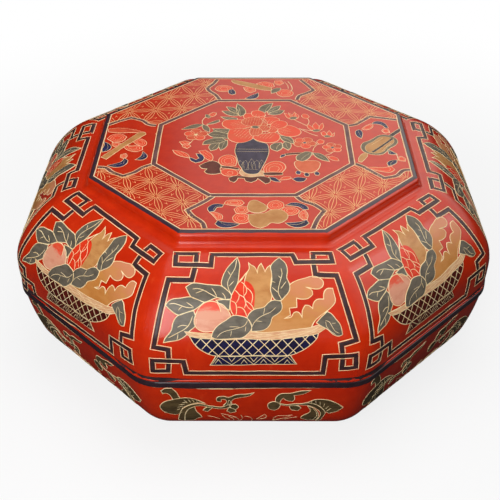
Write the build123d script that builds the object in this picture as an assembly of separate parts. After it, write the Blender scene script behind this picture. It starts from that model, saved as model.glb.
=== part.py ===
from build123d import *
import math
import os

# Octagonal lacquer box on a wooden core: eight curved staves in the base and
# eight in the lid, each ring closed by a let-in board. Millimetres and degrees.
# +Z is up, the origin is the middle of the foot, and panel 1 faces -Y.

# Whole box
SIDES = 8
WIDEST_APOTHEM = 187.5
WIDEST_HEIGHT = 90.0
SEAM_HEIGHT = 70.0
WALL = 9.0
RIDGE_RADIUS = 30.0

# Lid outline above the widest line: three tangent arcs, each with its own angle
SIDE_RADIUS = 40.0
SIDE_ARC_ANGLE = 27.0
FLANK_RADIUS = 86.0
FLANK_ARC_ANGLE = 29.0
SHOULDER_RADIUS = 40.0
SHOULDER_ARC_ANGLE = 24.0

# Base outline below the widest line: a long side arc and a heel arc
BASE_SIDE_RADIUS = 215.0
HEEL_RADIUS = 40.0
HEEL_END_ANGLE = 80.0

# Top board of the lid
BOARD_LAP = 4.5
BOARD_LEDGE = 6.5
BOARD_MARGIN = 0.6
PLATE_RISE = 9.4
PLATE_SETBACK = 10.4
PLATE_CORNER_RADIUS = 6.0
PLATE_EDGE_RADIUS = 4.2
COVE_RADIUS = 4.8

# Floor board of the base
FLOOR_LIFT = 3.5
FLOOR_THICKNESS = 7.5
FLOOR_LEDGE = 8.0
FLOOR_INSET = 14.0

# Bead along the lid's rim and black band along the base's rim
BEAD_HEIGHT = 2.2
BEAD_PROUD = 0.8
BEAD_ROUNDING = 0.9
BAND_HEIGHT = 5.4
BAND_PROUD = 0.9
BAND_DEPTH = 2.5
BAND_ROUNDING = 1.2

# Locating lip inside the mouth
LIP_THICKNESS = 4.0
LIP_SEAT = 12.0
LIP_RISE = 8.0
LIP_CLEARANCE = 0.5
LIP_CHAMFER = 1.0

STAVE_ANGLE = 360.0 / SIDES
REACH = 2.0 * WIDEST_APOTHEM


def toward(center, radius, angle):
    """Return the point at a radius and an angle in degrees from a centre."""
    turn = math.radians(angle)
    return (center[0] + radius * math.cos(turn), center[1] + radius * math.sin(turn))


def arc_centers():
    """Return the centre, radius, start and end angle of each outline arc, foot to shoulder."""
    heel_drop = HEEL_RADIUS * math.sin(math.radians(HEEL_END_ANGLE))
    base_turn = math.degrees(
        math.asin((WIDEST_HEIGHT - heel_drop) / (BASE_SIDE_RADIUS - HEEL_RADIUS))
    )
    base_center = (WIDEST_APOTHEM - BASE_SIDE_RADIUS, WIDEST_HEIGHT)
    heel_center = toward(base_center, BASE_SIDE_RADIUS - HEEL_RADIUS, -base_turn)
    side_center = (WIDEST_APOTHEM - SIDE_RADIUS, WIDEST_HEIGHT)
    side_end = SIDE_ARC_ANGLE
    flank_center = toward(side_center, SIDE_RADIUS - FLANK_RADIUS, side_end)
    flank_end = side_end + FLANK_ARC_ANGLE
    shoulder_center = toward(flank_center, FLANK_RADIUS - SHOULDER_RADIUS, flank_end)
    shoulder_end = flank_end + SHOULDER_ARC_ANGLE
    return [
        (heel_center, HEEL_RADIUS, -HEEL_END_ANGLE, -base_turn),
        (base_center, BASE_SIDE_RADIUS, -base_turn, 0.0),
        (side_center, SIDE_RADIUS, 0.0, side_end),
        (flank_center, FLANK_RADIUS, side_end, flank_end),
        (shoulder_center, SHOULDER_RADIUS, flank_end, shoulder_end),
    ]


ARCS = arc_centers()
SHOULDER_APOTHEM, SHOULDER_HEIGHT = toward(ARCS[-1][0], ARCS[-1][1], ARCS[-1][3])
FOOT_APOTHEM = toward(ARCS[0][0], ARCS[0][1], ARCS[0][2])[0]
SEAM_APOTHEM = ARCS[1][0][0] + math.sqrt(BASE_SIDE_RADIUS**2 - (WIDEST_HEIGHT - SEAM_HEIGHT) ** 2)
OVERALL_HEIGHT = SHOULDER_HEIGHT + PLATE_RISE

BOARD_APOTHEM = SHOULDER_APOTHEM - BOARD_MARGIN
BOARD_BOTTOM = SHOULDER_HEIGHT - BOARD_LAP
LID_OPENING_APOTHEM = BOARD_APOTHEM - BOARD_LEDGE
PLATE_APOTHEM = BOARD_APOTHEM - PLATE_SETBACK
FLOOR_APOTHEM = FOOT_APOTHEM - FLOOR_INSET
FLOOR_OPENING_APOTHEM = FLOOR_APOTHEM - FLOOR_LEDGE
LIP_OUTER_APOTHEM = SEAM_APOTHEM - WALL - LIP_CLEARANCE
LIP_INNER_APOTHEM = LIP_OUTER_APOTHEM - LIP_THICKNESS


def octagon(apothem, bottom, top, corner_radius=0.0):
    """Return an upright octagonal prism with flats toward the axes."""
    shape = RegularPolygon(apothem, SIDES, major_radius=False, rotation=STAVE_ANGLE / 2)
    if corner_radius > 0.0:
        shape = fillet(shape.vertices(), corner_radius)
    return extrude(Pos(0, 0, bottom) * shape, top - bottom)


def body_outline(inset):
    """Return the full-height side outline, inset by a wall, as a face in the XZ plane."""
    edges = []
    for center, radius, start, end in ARCS:
        edges.append(CenterArc(center, radius - inset, start, end - start))
    foot = edges[0] @ 0
    crown = edges[-1] @ 1
    half = Curve() + edges
    half += Line((0.0, foot.Y), (foot.X, foot.Y))
    half += Line((crown.X, crown.Y), (0.0, crown.Y))
    outline = half + mirror(half, about=Plane.YZ)
    return Plane.XZ * make_face(outline.edges())


def faceted_body(inset):
    """Return the closed octagonal body: the outline run through in four directions."""
    prism = extrude(body_outline(inset), REACH, both=True)
    body = prism
    for index in range(1, SIDES // 2):
        body = body & (Rot(0, 0, index * STAVE_ANGLE) * prism)
    return body


def stave_wedge():
    """Return the mitre wedge that cuts panel 1, which faces -Y, out of a ring."""
    half_width = REACH * math.tan(math.radians(STAVE_ANGLE / 2))
    plan = Polygon((0, 0), (-half_width, -REACH), (half_width, -REACH), align=None)
    return extrude(Pos(0, 0, -REACH) * plan, 3 * REACH)


def beside_panel_one(edge):
    """Tell whether an edge is on one of the two ridges beside panel 1."""
    middle = edge @ 0.5
    heading = math.degrees(math.atan2(middle.Y, middle.X))
    level = abs((edge @ 0).Z - (edge @ 1).Z) < 0.01
    return not level and abs(abs(heading + 90.0) - STAVE_ANGLE / 2) < 1.0


def rounded_stave_block(wedge):
    """Return the solid wedge of panel 1 with both its ridges rounded."""
    body = faceted_body(0.0)
    ridges = body.edges().filter_by(beside_panel_one)
    return fillet(ridges, RIDGE_RADIUS) & wedge


def rim_ring(proud, bottom, top, rounding, depth):
    """Return a rounded octagonal moulding that stands proud of the rim."""
    block = octagon(SEAM_APOTHEM + proud, bottom, top, RIDGE_RADIUS + proud)
    rims = block.edges().group_by(Axis.Z)
    block = fillet(rims[0] + rims[-1], rounding)
    return block - octagon(SEAM_APOTHEM - depth, bottom, top, RIDGE_RADIUS - depth)


def lid_stave(block, hollow, wedge):
    """Return lid panel 1: curved stave, rim bead and the rebate for the top board."""
    bead_top = SEAM_HEIGHT + BEAD_HEIGHT
    bead_rounding = min(BEAD_ROUNDING, 0.45 * BEAD_HEIGHT)
    stave = block & octagon(REACH, SEAM_HEIGHT, OVERALL_HEIGHT)
    stave += rim_ring(BEAD_PROUD, SEAM_HEIGHT, bead_top, bead_rounding, WALL / 2) & wedge
    stave -= hollow
    stave -= octagon(BOARD_APOTHEM, BOARD_BOTTOM, OVERALL_HEIGHT)
    stave -= octagon(LID_OPENING_APOTHEM, SEAM_HEIGHT, OVERALL_HEIGHT)
    return stave


def top_board():
    """Return the lid's board: a let-in foot, a cove and the raised plate."""
    plate_edge = min(PLATE_EDGE_RADIUS, 0.45 * PLATE_RISE)
    cove = min(COVE_RADIUS, 0.52 * PLATE_RISE, 0.9 * PLATE_SETBACK)
    board = octagon(BOARD_APOTHEM, BOARD_BOTTOM, SHOULDER_HEIGHT)
    board += octagon(PLATE_APOTHEM, BOARD_BOTTOM, OVERALL_HEIGHT, PLATE_CORNER_RADIUS)
    at_shoulder = board.edges().filter_by_position(Axis.Z, SHOULDER_HEIGHT, SHOULDER_HEIGHT)
    around_plate = at_shoulder.sort_by(SortBy.LENGTH)[:-SIDES]
    board = fillet(around_plate, cove)
    return fillet(board.edges().group_by(Axis.Z)[-1], plate_edge)


def lip_ring():
    """Return the locating lip: glued inside the base, rising into the lid."""
    bottom = SEAM_HEIGHT - LIP_SEAT
    top = SEAM_HEIGHT + LIP_RISE
    block = octagon(LIP_OUTER_APOTHEM, bottom, top)
    block = chamfer(block.edges().group_by(Axis.Z)[-1], LIP_CHAMFER)
    return block - octagon(LIP_INNER_APOTHEM, bottom, top)


def base_stave(block, hollow, lip):
    """Return base panel 1: curved stave with seats for the band, lip and floor board."""
    band_bottom = SEAM_HEIGHT - BAND_HEIGHT
    seat_apothem = SEAM_APOTHEM - BAND_DEPTH
    band_seat = octagon(REACH, band_bottom, SEAM_HEIGHT)
    band_seat -= octagon(seat_apothem, band_bottom, SEAM_HEIGHT, RIDGE_RADIUS - BAND_DEPTH)
    stave = block & octagon(REACH, 0.0, SEAM_HEIGHT)
    stave -= hollow & octagon(LIP_OUTER_APOTHEM, 0.0, SEAM_HEIGHT)
    stave -= band_seat
    stave -= lip
    stave -= octagon(FLOOR_APOTHEM, FLOOR_LIFT, SEAM_HEIGHT)
    stave -= octagon(FLOOR_OPENING_APOTHEM, 0.0, SEAM_HEIGHT)
    return stave


def floor_board():
    """Return the base's floor, let in above the foot."""
    return octagon(FLOOR_APOTHEM, FLOOR_LIFT, FLOOR_LIFT + FLOOR_THICKNESS)


def export_ring(name, panel_one):
    """Write the eight copies of a panel, counter-clockwise from the front."""
    for index in range(SIDES):
        export_step(Rot(0, 0, index * STAVE_ANGLE) * panel_one, f"parts/{name}_{index + 1}.step")


def main():
    """Build every piece and write one STEP file for each."""
    os.makedirs("parts", exist_ok=True)
    wedge = stave_wedge()
    block = rounded_stave_block(wedge)
    hollow = faceted_body(WALL)
    lip = lip_ring()
    band = rim_ring(BAND_PROUD, SEAM_HEIGHT - BAND_HEIGHT, SEAM_HEIGHT, BAND_ROUNDING, BAND_DEPTH)
    export_step(top_board(), "parts/lid_top_board.step")
    export_step(floor_board(), "parts/base_floor_board.step")
    export_ring("lid_panel", lid_stave(block, hollow, wedge))
    export_ring("base_panel", base_stave(block, hollow, lip))
    export_ring("rim_band", band & wedge)
    export_ring("locating_lip", lip & wedge)
    print(f"overall height {OVERALL_HEIGHT:.2f}, plate apothem {PLATE_APOTHEM:.2f}")
    print(f"shoulder {SHOULDER_APOTHEM:.2f} at {SHOULDER_HEIGHT:.2f}, foot {FOOT_APOTHEM:.2f}")
    print(f"seam {SEAM_APOTHEM:.2f}, lip {LIP_OUTER_APOTHEM:.2f} to {LIP_INNER_APOTHEM:.2f}")


main()
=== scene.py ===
"""Octagonal lacquer gift box: finishes and hand-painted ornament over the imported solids."""

import logging
import math
from collections.abc import Callable, Iterable, Sequence
from dataclasses import dataclass, field
from enum import Enum
from functools import cache

import bmesh
import bpy
from mathutils import Matrix, Vector, noise
from mathutils.bvhtree import BVHTree


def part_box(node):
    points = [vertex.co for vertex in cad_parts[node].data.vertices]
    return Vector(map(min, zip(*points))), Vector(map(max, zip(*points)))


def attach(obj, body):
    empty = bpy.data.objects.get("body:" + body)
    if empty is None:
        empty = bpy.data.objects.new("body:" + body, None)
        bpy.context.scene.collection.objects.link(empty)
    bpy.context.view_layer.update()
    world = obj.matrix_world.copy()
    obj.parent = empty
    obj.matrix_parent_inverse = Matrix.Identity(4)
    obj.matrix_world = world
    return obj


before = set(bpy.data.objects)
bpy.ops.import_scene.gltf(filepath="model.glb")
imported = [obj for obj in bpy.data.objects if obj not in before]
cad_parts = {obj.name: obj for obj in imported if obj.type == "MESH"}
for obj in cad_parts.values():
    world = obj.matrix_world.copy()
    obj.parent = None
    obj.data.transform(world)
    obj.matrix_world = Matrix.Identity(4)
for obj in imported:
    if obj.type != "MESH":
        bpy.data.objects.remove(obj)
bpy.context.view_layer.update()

Point = tuple[float, float]
Colour = tuple[float, float, float, float]
Drawn = str | Sequence[Point]
Test = Callable[[float, float], bool]
Socket = bpy.types.NodeSocket
FlatMesh = bmesh.types.BMesh

LOG = logging.getLogger("gift_box")
MM = 0.001
SIDES = 8
SECTOR = math.tau / SIDES
DIAGONAL = math.sqrt(0.5)


def srgb(red: float, green: float, blue: float) -> Colour:
    """The scene colour of an 8-bit display colour.

    Args:
        red: Red, 0 to 255.
        green: Green, 0 to 255.
        blue: Blue, 0 to 255.

    Returns:
        The linear colour with an alpha of 1.
    """

    def linear(level: float) -> float:
        """One channel, made linear."""
        part = level / 255.0
        return part / 12.92 if part <= 0.04045 else ((part + 0.055) / 1.055) ** 2.4

    return (linear(red), linear(green), linear(blue), 1.0)


def grey(level: float) -> Colour:
    """A linear grey with an alpha of 1."""
    return (level, level, level, 1.0)


class Signal:
    """A number that flows through a shader; arithmetic on it adds Math nodes."""

    def __init__(self, graph: "Graph", socket: Socket) -> None:
        """Wraps an output socket of the graph."""
        self.graph = graph
        self.socket = socket

    def math(self, operation: str, *values: "Signal | float") -> "Signal":
        """Adds one Math node.

        Args:
            operation: The node's operation.
            values: Its inputs, in order.

        Returns:
            The node's result.
        """
        inputs = dict(enumerate(values))
        node = self.graph.add("ShaderNodeMath", {"operation": operation}, inputs)
        return Signal(self.graph, node.outputs[0])

    def __add__(self, other: "Signal | float") -> "Signal":
        """The sum."""
        return self.math("ADD", self, other)

    def __sub__(self, other: "Signal | float") -> "Signal":
        """The difference."""
        return self.math("SUBTRACT", self, other)

    def __rsub__(self, other: float) -> "Signal":
        """The difference, from a plain number."""
        return self.math("SUBTRACT", other, self)

    def __mul__(self, other: "Signal | float") -> "Signal":
        """The product."""
        return self.math("MULTIPLY", self, other)

    def __abs__(self) -> "Signal":
        """The size without its sign."""
        return self.math("ABSOLUTE", self)

    def larger(self, other: "Signal | float") -> "Signal":
        """The larger of the two."""
        return self.math("MAXIMUM", self, other)

    def ramp(self, low: float, high: float) -> "Signal":
        """Rises smoothly from 0 at low to 1 at high.

        Args:
            low: Where the result is 0.
            high: Where the result is 1; below low for a falling ramp.

        Returns:
            The ramp, held within 0 and 1.
        """
        flip = high < low
        first, last = (high, low) if flip else (low, high)
        node = self.graph.add(
            "ShaderNodeMapRange",
            {"interpolation_type": "SMOOTHSTEP"},
            {"Value": self, "From Min": first, "From Max": last},
        )
        rising = Signal(self.graph, node.outputs[0])
        return 1.0 - rising if flip else rising


class Graph:
    """The shader nodes of one material or of the world."""

    def __init__(self, tree: bpy.types.NodeTree) -> None:
        """Starts an empty tree."""
        self.tree = tree
        tree.nodes.clear()
        self._place: Socket | None = None

    def add(
        self,
        kind: str,
        settings: dict[str, object] | None = None,
        sockets: dict[str | int, object] | None = None,
    ) -> bpy.types.Node:
        """Adds any node.

        Args:
            kind: The node's type.
            settings: Its properties, set first.
            sockets: Values or links for its inputs, by name or index.

        Returns:
            The node.
        """
        node = self.tree.nodes.new(kind)
        for name, value in (settings or {}).items():
            setattr(node, name, value)
        for key, value in (sockets or {}).items():
            socket = node.inputs[key]
            if isinstance(value, Signal):
                self.tree.links.new(value.socket, socket)
            elif isinstance(value, Socket):
                self.tree.links.new(value, socket)
            else:
                socket.default_value = value
        return node

    def place(self) -> Socket:
        """Object coordinates, in metres."""
        if self._place is None:
            self._place = self.add("ShaderNodeTexCoord").outputs["Object"]
        return self._place

    def axes(self, vector: Socket) -> tuple[Signal, Signal, Signal]:
        """The three parts of a vector."""
        node = self.add("ShaderNodeSeparateXYZ", None, {0: vector})
        return tuple(Signal(self, out) for out in node.outputs)

    def stretch(self, scale: tuple[float, float, float]) -> Socket:
        """Object coordinates scaled axis by axis."""
        node = self.add("ShaderNodeMapping", None, {"Vector": self.place(), "Scale": scale})
        return node.outputs[0]

    def cloud(
        self,
        size: float,
        detail: float = 3.0,
        roughness: float = 0.5,
        vector: Socket | None = None,
    ) -> Signal:
        """Soft noise about 0.5.

        Args:
            size: The width of its blotches in millimetres.
            detail: Octaves of finer noise.
            roughness: The strength of the finer noise.
            vector: Coordinates; Object coordinates when left out.

        Returns:
            The noise value.
        """
        node = self.add(
            "ShaderNodeTexNoise",
            None,
            {
                "Vector": vector or self.place(),
                "Scale": 1.0 / (size * MM),
                "Detail": detail,
                "Roughness": roughness,
            },
        )
        return Signal(self, node.outputs[0])

    def blend(self, factor: Signal | float, first: object, second: object) -> Socket:
        """Mixes two colours.

        Args:
            factor: The share of the second.
            first: A colour or a colour socket.
            second: A colour or a colour socket.

        Returns:
            The mixed colour's socket.
        """
        node = self.add(
            "ShaderNodeMix", {"data_type": "RGBA"}, {0: factor, 6: first, 7: second}
        )
        return node.outputs[2]

    def bump(self, height: Signal, distance: float) -> Socket:
        """A normal pushed about by a height.

        Args:
            height: The height signal.
            distance: Millimetres for a height of 1.

        Returns:
            The normal's socket.
        """
        sockets = {"Strength": 1.0, "Distance": distance * MM, "Height": height}
        return self.add("ShaderNodeBump", None, sockets).outputs[0]

    def surface(self, sockets: dict[str | int, object]) -> None:
        """Ends the tree with a Principled shader."""
        shader = self.add("ShaderNodeBsdfPrincipled", None, sockets)
        self.add("ShaderNodeOutputMaterial", None, {"Surface": shader.outputs[0]})


def new_material(name: str) -> tuple[bpy.types.Material, Graph]:
    """A material with an empty tree.

    Args:
        name: The material's name.

    Returns:
        The material and its graph.
    """
    material = bpy.data.materials.new(name)
    material.use_nodes = True
    return material, Graph(material.node_tree)


def placed(name: str, data: bpy.types.ID) -> bpy.types.Object:
    """A new object of the scene that holds the data."""
    holder = bpy.data.objects.new(name, data)
    bpy.context.scene.collection.objects.link(holder)
    return holder


@dataclass(frozen=True)
class Lacquer:
    """Polished lacquer: a pigment coat under clear coats, rubbed thin in streaks."""

    name: str
    colour: Colour
    deep: Colour
    worn: Colour
    mottle: float = 26.0
    roughness: float = 0.4
    coat_roughness: float = 0.15
    ripple: float = 0.05

    def pigment(self, graph: Graph) -> Socket:
        """The varied colour of the pigment coat.

        Args:
            graph: The material's graph.

        Returns:
            The colour's socket.
        """
        broad = graph.cloud(self.mottle * 3.2, 2.0)
        fine = graph.cloud(self.mottle * 0.35, 4.0, 0.6)
        depth = (broad * 0.6 + fine * 0.4).ramp(0.32, 0.68)
        base = graph.blend(depth, self.colour, self.deep)
        streaks = graph.cloud(9.0, 3.0, 0.65, graph.stretch((1.0, 1.0, 0.22)))
        rubbed = graph.blend(streaks.ramp(0.62, 0.8) * 0.35, base, self.worn)
        specks = graph.cloud(1.1, 1.0).ramp(0.74, 0.8)
        return graph.blend(specks * 0.35, rubbed, self.deep)

    def black(self, graph: Graph) -> Socket:
        """The clouded black of the inside."""
        return graph.blend(graph.cloud(30.0), (0.02, 0.018, 0.018, 1.0), srgb(46, 36, 36))

    def relief(self, graph: Graph) -> Socket:
        """The slow waves and fine pitting of hand-rubbed coats."""
        waves = graph.cloud(22.0, 2.0, 0.4)
        pits = graph.cloud(1.6, 2.0, 0.5)
        dust = graph.cloud(5.5, 1.0).ramp(0.72, 0.8)
        return graph.bump(waves * 1.6 + pits * 0.16 + dust * 0.1, self.ripple)

    def sheen(self, graph: Graph) -> Signal:
        """Roughness with faint handling marks."""
        marks = graph.cloud(14.0, 4.0, 0.62)
        return marks.ramp(0.3, 0.8) * 0.14 + (self.roughness - 0.05)

    def build(self) -> bpy.types.Material:
        """The finished material."""
        material, graph = new_material(self.name)
        self.shade(graph, self.pigment(graph))
        return material

    def shade(self, graph: Graph, colour: Socket) -> None:
        """Closes the tree.

        Args:
            graph: The material's graph.
            colour: The base colour's socket.
        """
        graph.surface(
            {
                "Base Color": colour,
                "Roughness": self.sheen(graph),
                "Specular IOR Level": 0.15,
                "Coat Weight": 1.0,
                "Coat Roughness": self.coat_roughness,
                "Coat IOR": 1.52,
                "Normal": self.relief(graph),
            }
        )


@dataclass(frozen=True)
class StaveLacquer(Lacquer):
    """Lacquer for a stave: coloured outside, black inside the box."""

    mid_height: float = 0.09

    def build(self) -> bpy.types.Material:
        """The finished material."""
        material, graph = new_material(self.name)
        outside = self.pigment(graph)
        centre = (0.0, 0.0, -self.mid_height)
        offset = graph.add(
            "ShaderNodeVectorMath", {"operation": "ADD"}, {0: graph.place(), 1: centre}
        )
        normal = graph.add("ShaderNodeTexCoord").outputs["Normal"]
        facing = graph.add(
            "ShaderNodeVectorMath",
            {"operation": "DOT_PRODUCT"},
            {0: offset.outputs[0], 1: normal},
        )
        outward = Signal(graph, facing.outputs["Value"]).ramp(-0.004, 0.004)
        self.shade(graph, graph.blend(outward, self.black(graph), outside))
        return material


@dataclass(frozen=True)
class BoardLacquer(Lacquer):
    """Lacquer for the top board: a dark border round its raised plate, black below."""

    border: Colour = (0.03, 0.02, 0.03, 1.0)
    border_from: float = 122.9
    border_to: float = 126.0
    border_bottom: float = 150.0
    edge: float = 0.2
    fringe: float = 0.3
    waver: float = 1.2

    def build(self) -> bpy.types.Material:
        """The finished material."""
        material, graph = new_material(self.name)
        x, y, z = graph.axes(graph.place())
        reach = abs(x).larger(abs(y))
        reach = reach.larger(abs(x * DIAGONAL + y * DIAGONAL))
        reach = reach.larger(abs(x * DIAGONAL - y * DIAGONAL))
        reach = reach + (graph.cloud(12.0, 2.0) - 0.5) * (self.waver * MM)
        outer = reach.ramp((self.border_to + self.fringe) * MM, self.border_to * MM)
        inner = reach.ramp(self.border_from * MM, (self.border_from + self.edge) * MM)
        high = z.ramp(self.border_bottom * MM, (self.border_bottom + self.edge) * MM)
        dark = graph.blend(graph.cloud(9.0, 3.0), self.border, srgb(74, 52, 62))
        upper = graph.blend(outer * inner * high, self.pigment(graph), dark)
        facing = graph.axes(graph.add("ShaderNodeTexCoord").outputs["Normal"])[2]
        self.shade(graph, graph.blend(facing.ramp(-0.3, -0.6), upper, self.black(graph)))
        return material


@dataclass(frozen=True)
class Fade:
    """A second colour that a paint is brushed out into across the drawing."""

    colour: Colour
    axis: Point
    start: float
    end: float
    ragged: float = 5.0


@dataclass(frozen=True)
class Pigment:
    """Hand-laid ornament paint, with brush streaks and thin places."""

    name: str
    colour: Colour
    thin: Colour
    streak: float = 3.2
    roughness: float = 0.38
    coat: float = 0.55
    relief: float = 0.02
    fade: Fade | None = None

    def _faded(
        self, graph: Graph, colour: Socket, strokes: Signal
    ) -> Socket:
        """The colour brushed out into the fade's own.

        Args:
            graph: The material's graph.
            colour: The colour before the fade.
            strokes: The brush streaks that make its edge ragged.

        Returns:
            The colour's socket.
        """
        drawn = graph.add("ShaderNodeAttribute", {"attribute_name": "drawn"})
        x, y, _ = graph.axes(drawn.outputs["Vector"])
        along = x * self.fade.axis[0] + y * self.fade.axis[1]
        along = along + (strokes - 0.5) * self.fade.ragged
        return graph.blend(along.ramp(self.fade.start, self.fade.end), colour, self.fade.colour)

    def build(self) -> bpy.types.Material:
        """The finished material."""
        material, graph = new_material(self.name)
        strokes = graph.cloud(self.streak, 4.0, 0.6, graph.stretch((0.35, 0.35, 1.0)))
        patches = graph.cloud(self.streak * 4.5, 2.0)
        thinness = (strokes * 0.65 + patches * 0.35).ramp(0.38, 0.66)
        grain = graph.cloud(0.7, 2.0)
        colour = graph.blend(thinness, self.colour, self.thin)
        if self.fade:
            colour = self._faded(graph, colour, strokes)
        graph.surface(
            {
                "Base Color": colour,
                "Roughness": strokes.ramp(0.25, 0.75) * 0.16 + self.roughness,
                "Specular IOR Level": 0.2,
                "Coat Weight": self.coat,
                "Coat Roughness": 0.2,
                "Normal": graph.bump(strokes + grain * 0.5, self.relief),
            }
        )
        return material


class Paint(Enum):
    """The paints of the ornament, in the order of a piece's material slots."""

    GOLD = Pigment(
        "gold_line", srgb(252, 230, 184), srgb(242, 208, 150), 2.0, 0.36, 0.35, 0.03
    )
    LATTICE = Pigment("lattice_gold", srgb(248, 202, 138), srgb(236, 168, 102), 2.0, 0.36)
    DARK = Pigment("border_dark", srgb(68, 48, 50), srgb(48, 33, 36), 4.0)
    PLUM = Pigment("plate_border_plum", srgb(116, 80, 78), srgb(90, 60, 60), 4.0)
    LEAF = Pigment("leaf_grey_green", srgb(112, 103, 89), srgb(88, 81, 70), 2.6)
    SAGE = Pigment("plate_leaf_green", srgb(124, 108, 84), srgb(98, 86, 66), 2.4)
    NAVY = Pigment("bowl_navy", srgb(28, 26, 68), srgb(26, 19, 40), 3.0)
    MAROON = Pigment("bowl_maroon", srgb(92, 24, 16), srgb(62, 16, 14), 3.0)
    TAN = Pigment("fruit_tan", srgb(206, 148, 88), srgb(188, 124, 68), 3.0)
    CITRON = Pigment(
        "citron_tan", srgb(208, 142, 76), srgb(196, 124, 58), 5.0,
        fade=Fade(srgb(216, 138, 100), (0.45, 0.9), 62.0, 92.0, 36.0),
    )
    CREAM = Pigment("basket_rim_cream", srgb(232, 186, 140), srgb(220, 156, 112), 1.6)
    PEACH = Pigment("peach_skin", srgb(232, 166, 136), srgb(222, 142, 112), 3.0)
    PEACH_BLUSH = Pigment(
        "peach_blush", srgb(238, 72, 44), srgb(230, 92, 62), 3.0,
        fade=Fade(srgb(230, 158, 128), (-0.06, -1.0), -58.2, -53.8, 11.0),
    )
    CORAL = Pigment("coral_red", srgb(234, 62, 30), srgb(222, 42, 16), 2.6)
    PETAL = Pigment("petal_coral", srgb(242, 76, 44), srgb(232, 92, 58), 3.0)
    BLUSH = Pigment("petal_blush", srgb(224, 96, 56), srgb(214, 70, 38), 3.4)
    OLIVE = Pigment("scroll_olive", srgb(100, 82, 52), srgb(72, 58, 38), 2.6)
    BRONZE = Pigment("vase_maroon", srgb(104, 44, 30), srgb(82, 30, 22), 2.6)
    STEEL = Pigment("ribbon_blue", srgb(40, 40, 88), srgb(28, 26, 54), 2.2)
    SLATE = Pigment("vase_slate", srgb(64, 54, 74), srgb(50, 40, 56), 3.0)
    CLAY = Pigment("pot_clay", srgb(226, 110, 70), srgb(214, 96, 58), 3.0)

    @property
    def slot(self) -> int:
        """The paint's place among a piece's material slots."""
        return list(Paint).index(self)


GOLD_WIDTH = 0.84
STEP = 1.7
FINE_STEP = 1.0
HATCH_STEP = 0.8
CORNER = math.radians(58.0)
MITRE_LIMIT = 0.45
TINY = 1e-6
FOLDED = 1e-4


def tremor(x: float, y: float, rate: float, seed: float) -> float:
    """The unsteadiness of the painter's hand at a place, from -1 to 1."""
    return noise.noise(Vector((x * rate, y * rate, seed)))


@cache
def trace(text: str) -> tuple[Point, ...]:
    """The points of an outline written as x,y pairs in millimetres."""
    return tuple(tuple(map(float, pair.split(","))) for pair in text.split())


def points_of(drawn: Drawn) -> Sequence[Point]:
    """A drawn outline's points, read if it is written as text."""
    return trace(drawn) if isinstance(drawn, str) else drawn


def heading(before: Vector | None, here: Vector, after: Vector | None, leaving: bool) -> Vector:
    """The direction of a drawn curve at one of its points.

    Args:
        before: The point before, or None at the start.
        here: The point.
        after: The point after, or None at the end.
        leaving: Whether the direction is for the run that leaves the point.

    Returns:
        A unit vector; a sharp point keeps the direction of its own run.
    """
    if before is None:
        return (after - here).normalized()
    if after is None:
        return (here - before).normalized()
    came = (here - before).normalized()
    goes = (after - here).normalized()
    if came.angle(goes, math.pi) > CORNER:
        return goes if leaving else came
    return (came + goes).normalized()


def flow(points: Drawn, closed: bool = False, step: float = STEP) -> list[Vector]:
    """A smooth hand-drawn curve through points, kept sharp where it turns hard.

    Args:
        points: The points, in millimetres.
        closed: Whether the last joins the first.
        step: The longest run between two results.

    Returns:
        The points of the curve.
    """
    knots = [Vector(p) for p in points_of(points)]
    count = len(knots)
    result: list[Vector] = []
    for i in range(count if closed else count - 1):
        here, after = knots[i], knots[(i + 1) % count]
        before = knots[i - 1] if closed or i > 0 else None
        beyond = knots[(i + 2) % count] if closed or i + 2 < count else None
        length = (after - here).length
        start = heading(before, here, after, True) * length
        end = heading(here, after, beyond, False) * length
        runs = max(1, math.ceil(length / step))
        for s in range(runs):
            t = s / runs
            a = 2 * t**3 - 3 * t**2 + 1
            b = t**3 - 2 * t**2 + t
            c = 3 * t**2 - 2 * t**3
            d = t**3 - t**2
            result.append(here * a + start * b + after * c + end * d)
    if not closed:
        result.append(knots[-1])
    return result


def straight(points: Drawn, closed: bool = False, step: float = STEP) -> list[Vector]:
    """Straight runs between points, divided for wrapping.

    Args:
        points: The points, in millimetres.
        closed: Whether the last joins the first.
        step: The longest run between two results.

    Returns:
        The points of the path.
    """
    knots = [Vector(p) for p in points_of(points)]
    ends = knots[1:] + knots[:1] if closed else knots[1:]
    result: list[Vector] = []
    for here, after in zip(knots, ends):
        runs = max(1, math.ceil((after - here).length / step))
        result.extend(here.lerp(after, s / runs) for s in range(runs))
    if not closed:
        result.append(knots[-1])
    return result


def mitres(path: Sequence[Vector], closed: bool) -> list[Vector]:
    """The left-hand offset of each point of a path for a width of 1.

    Args:
        path: The points.
        closed: Whether the last joins the first.

    Returns:
        One vector a point, longer at a corner so that the width holds.
    """
    count = len(path)
    result = []
    for i, here in enumerate(path):
        before = path[i - 1] if closed or i > 0 else here
        after = path[(i + 1) % count] if closed or i + 1 < count else here
        came, goes = here - before, after - here
        came = came if came.length > TINY else goes
        goes = goes if goes.length > TINY else came
        came, goes = came.normalized(), goes.normalized()
        side = Vector((-goes.y, goes.x))
        across = Vector((-came.y - goes.y, came.x + goes.x))
        across = side if across.length < FOLDED else across
        across = across.normalized()
        result.append(across / max(MITRE_LIMIT, across.dot(side)))
    return result


def shifted(path: Sequence[Vector], closed: bool, distance: float) -> list[Vector]:
    """The path moved to its left by a distance."""
    return [p + m * distance for p, m in zip(path, mitres(path, closed))]


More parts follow.
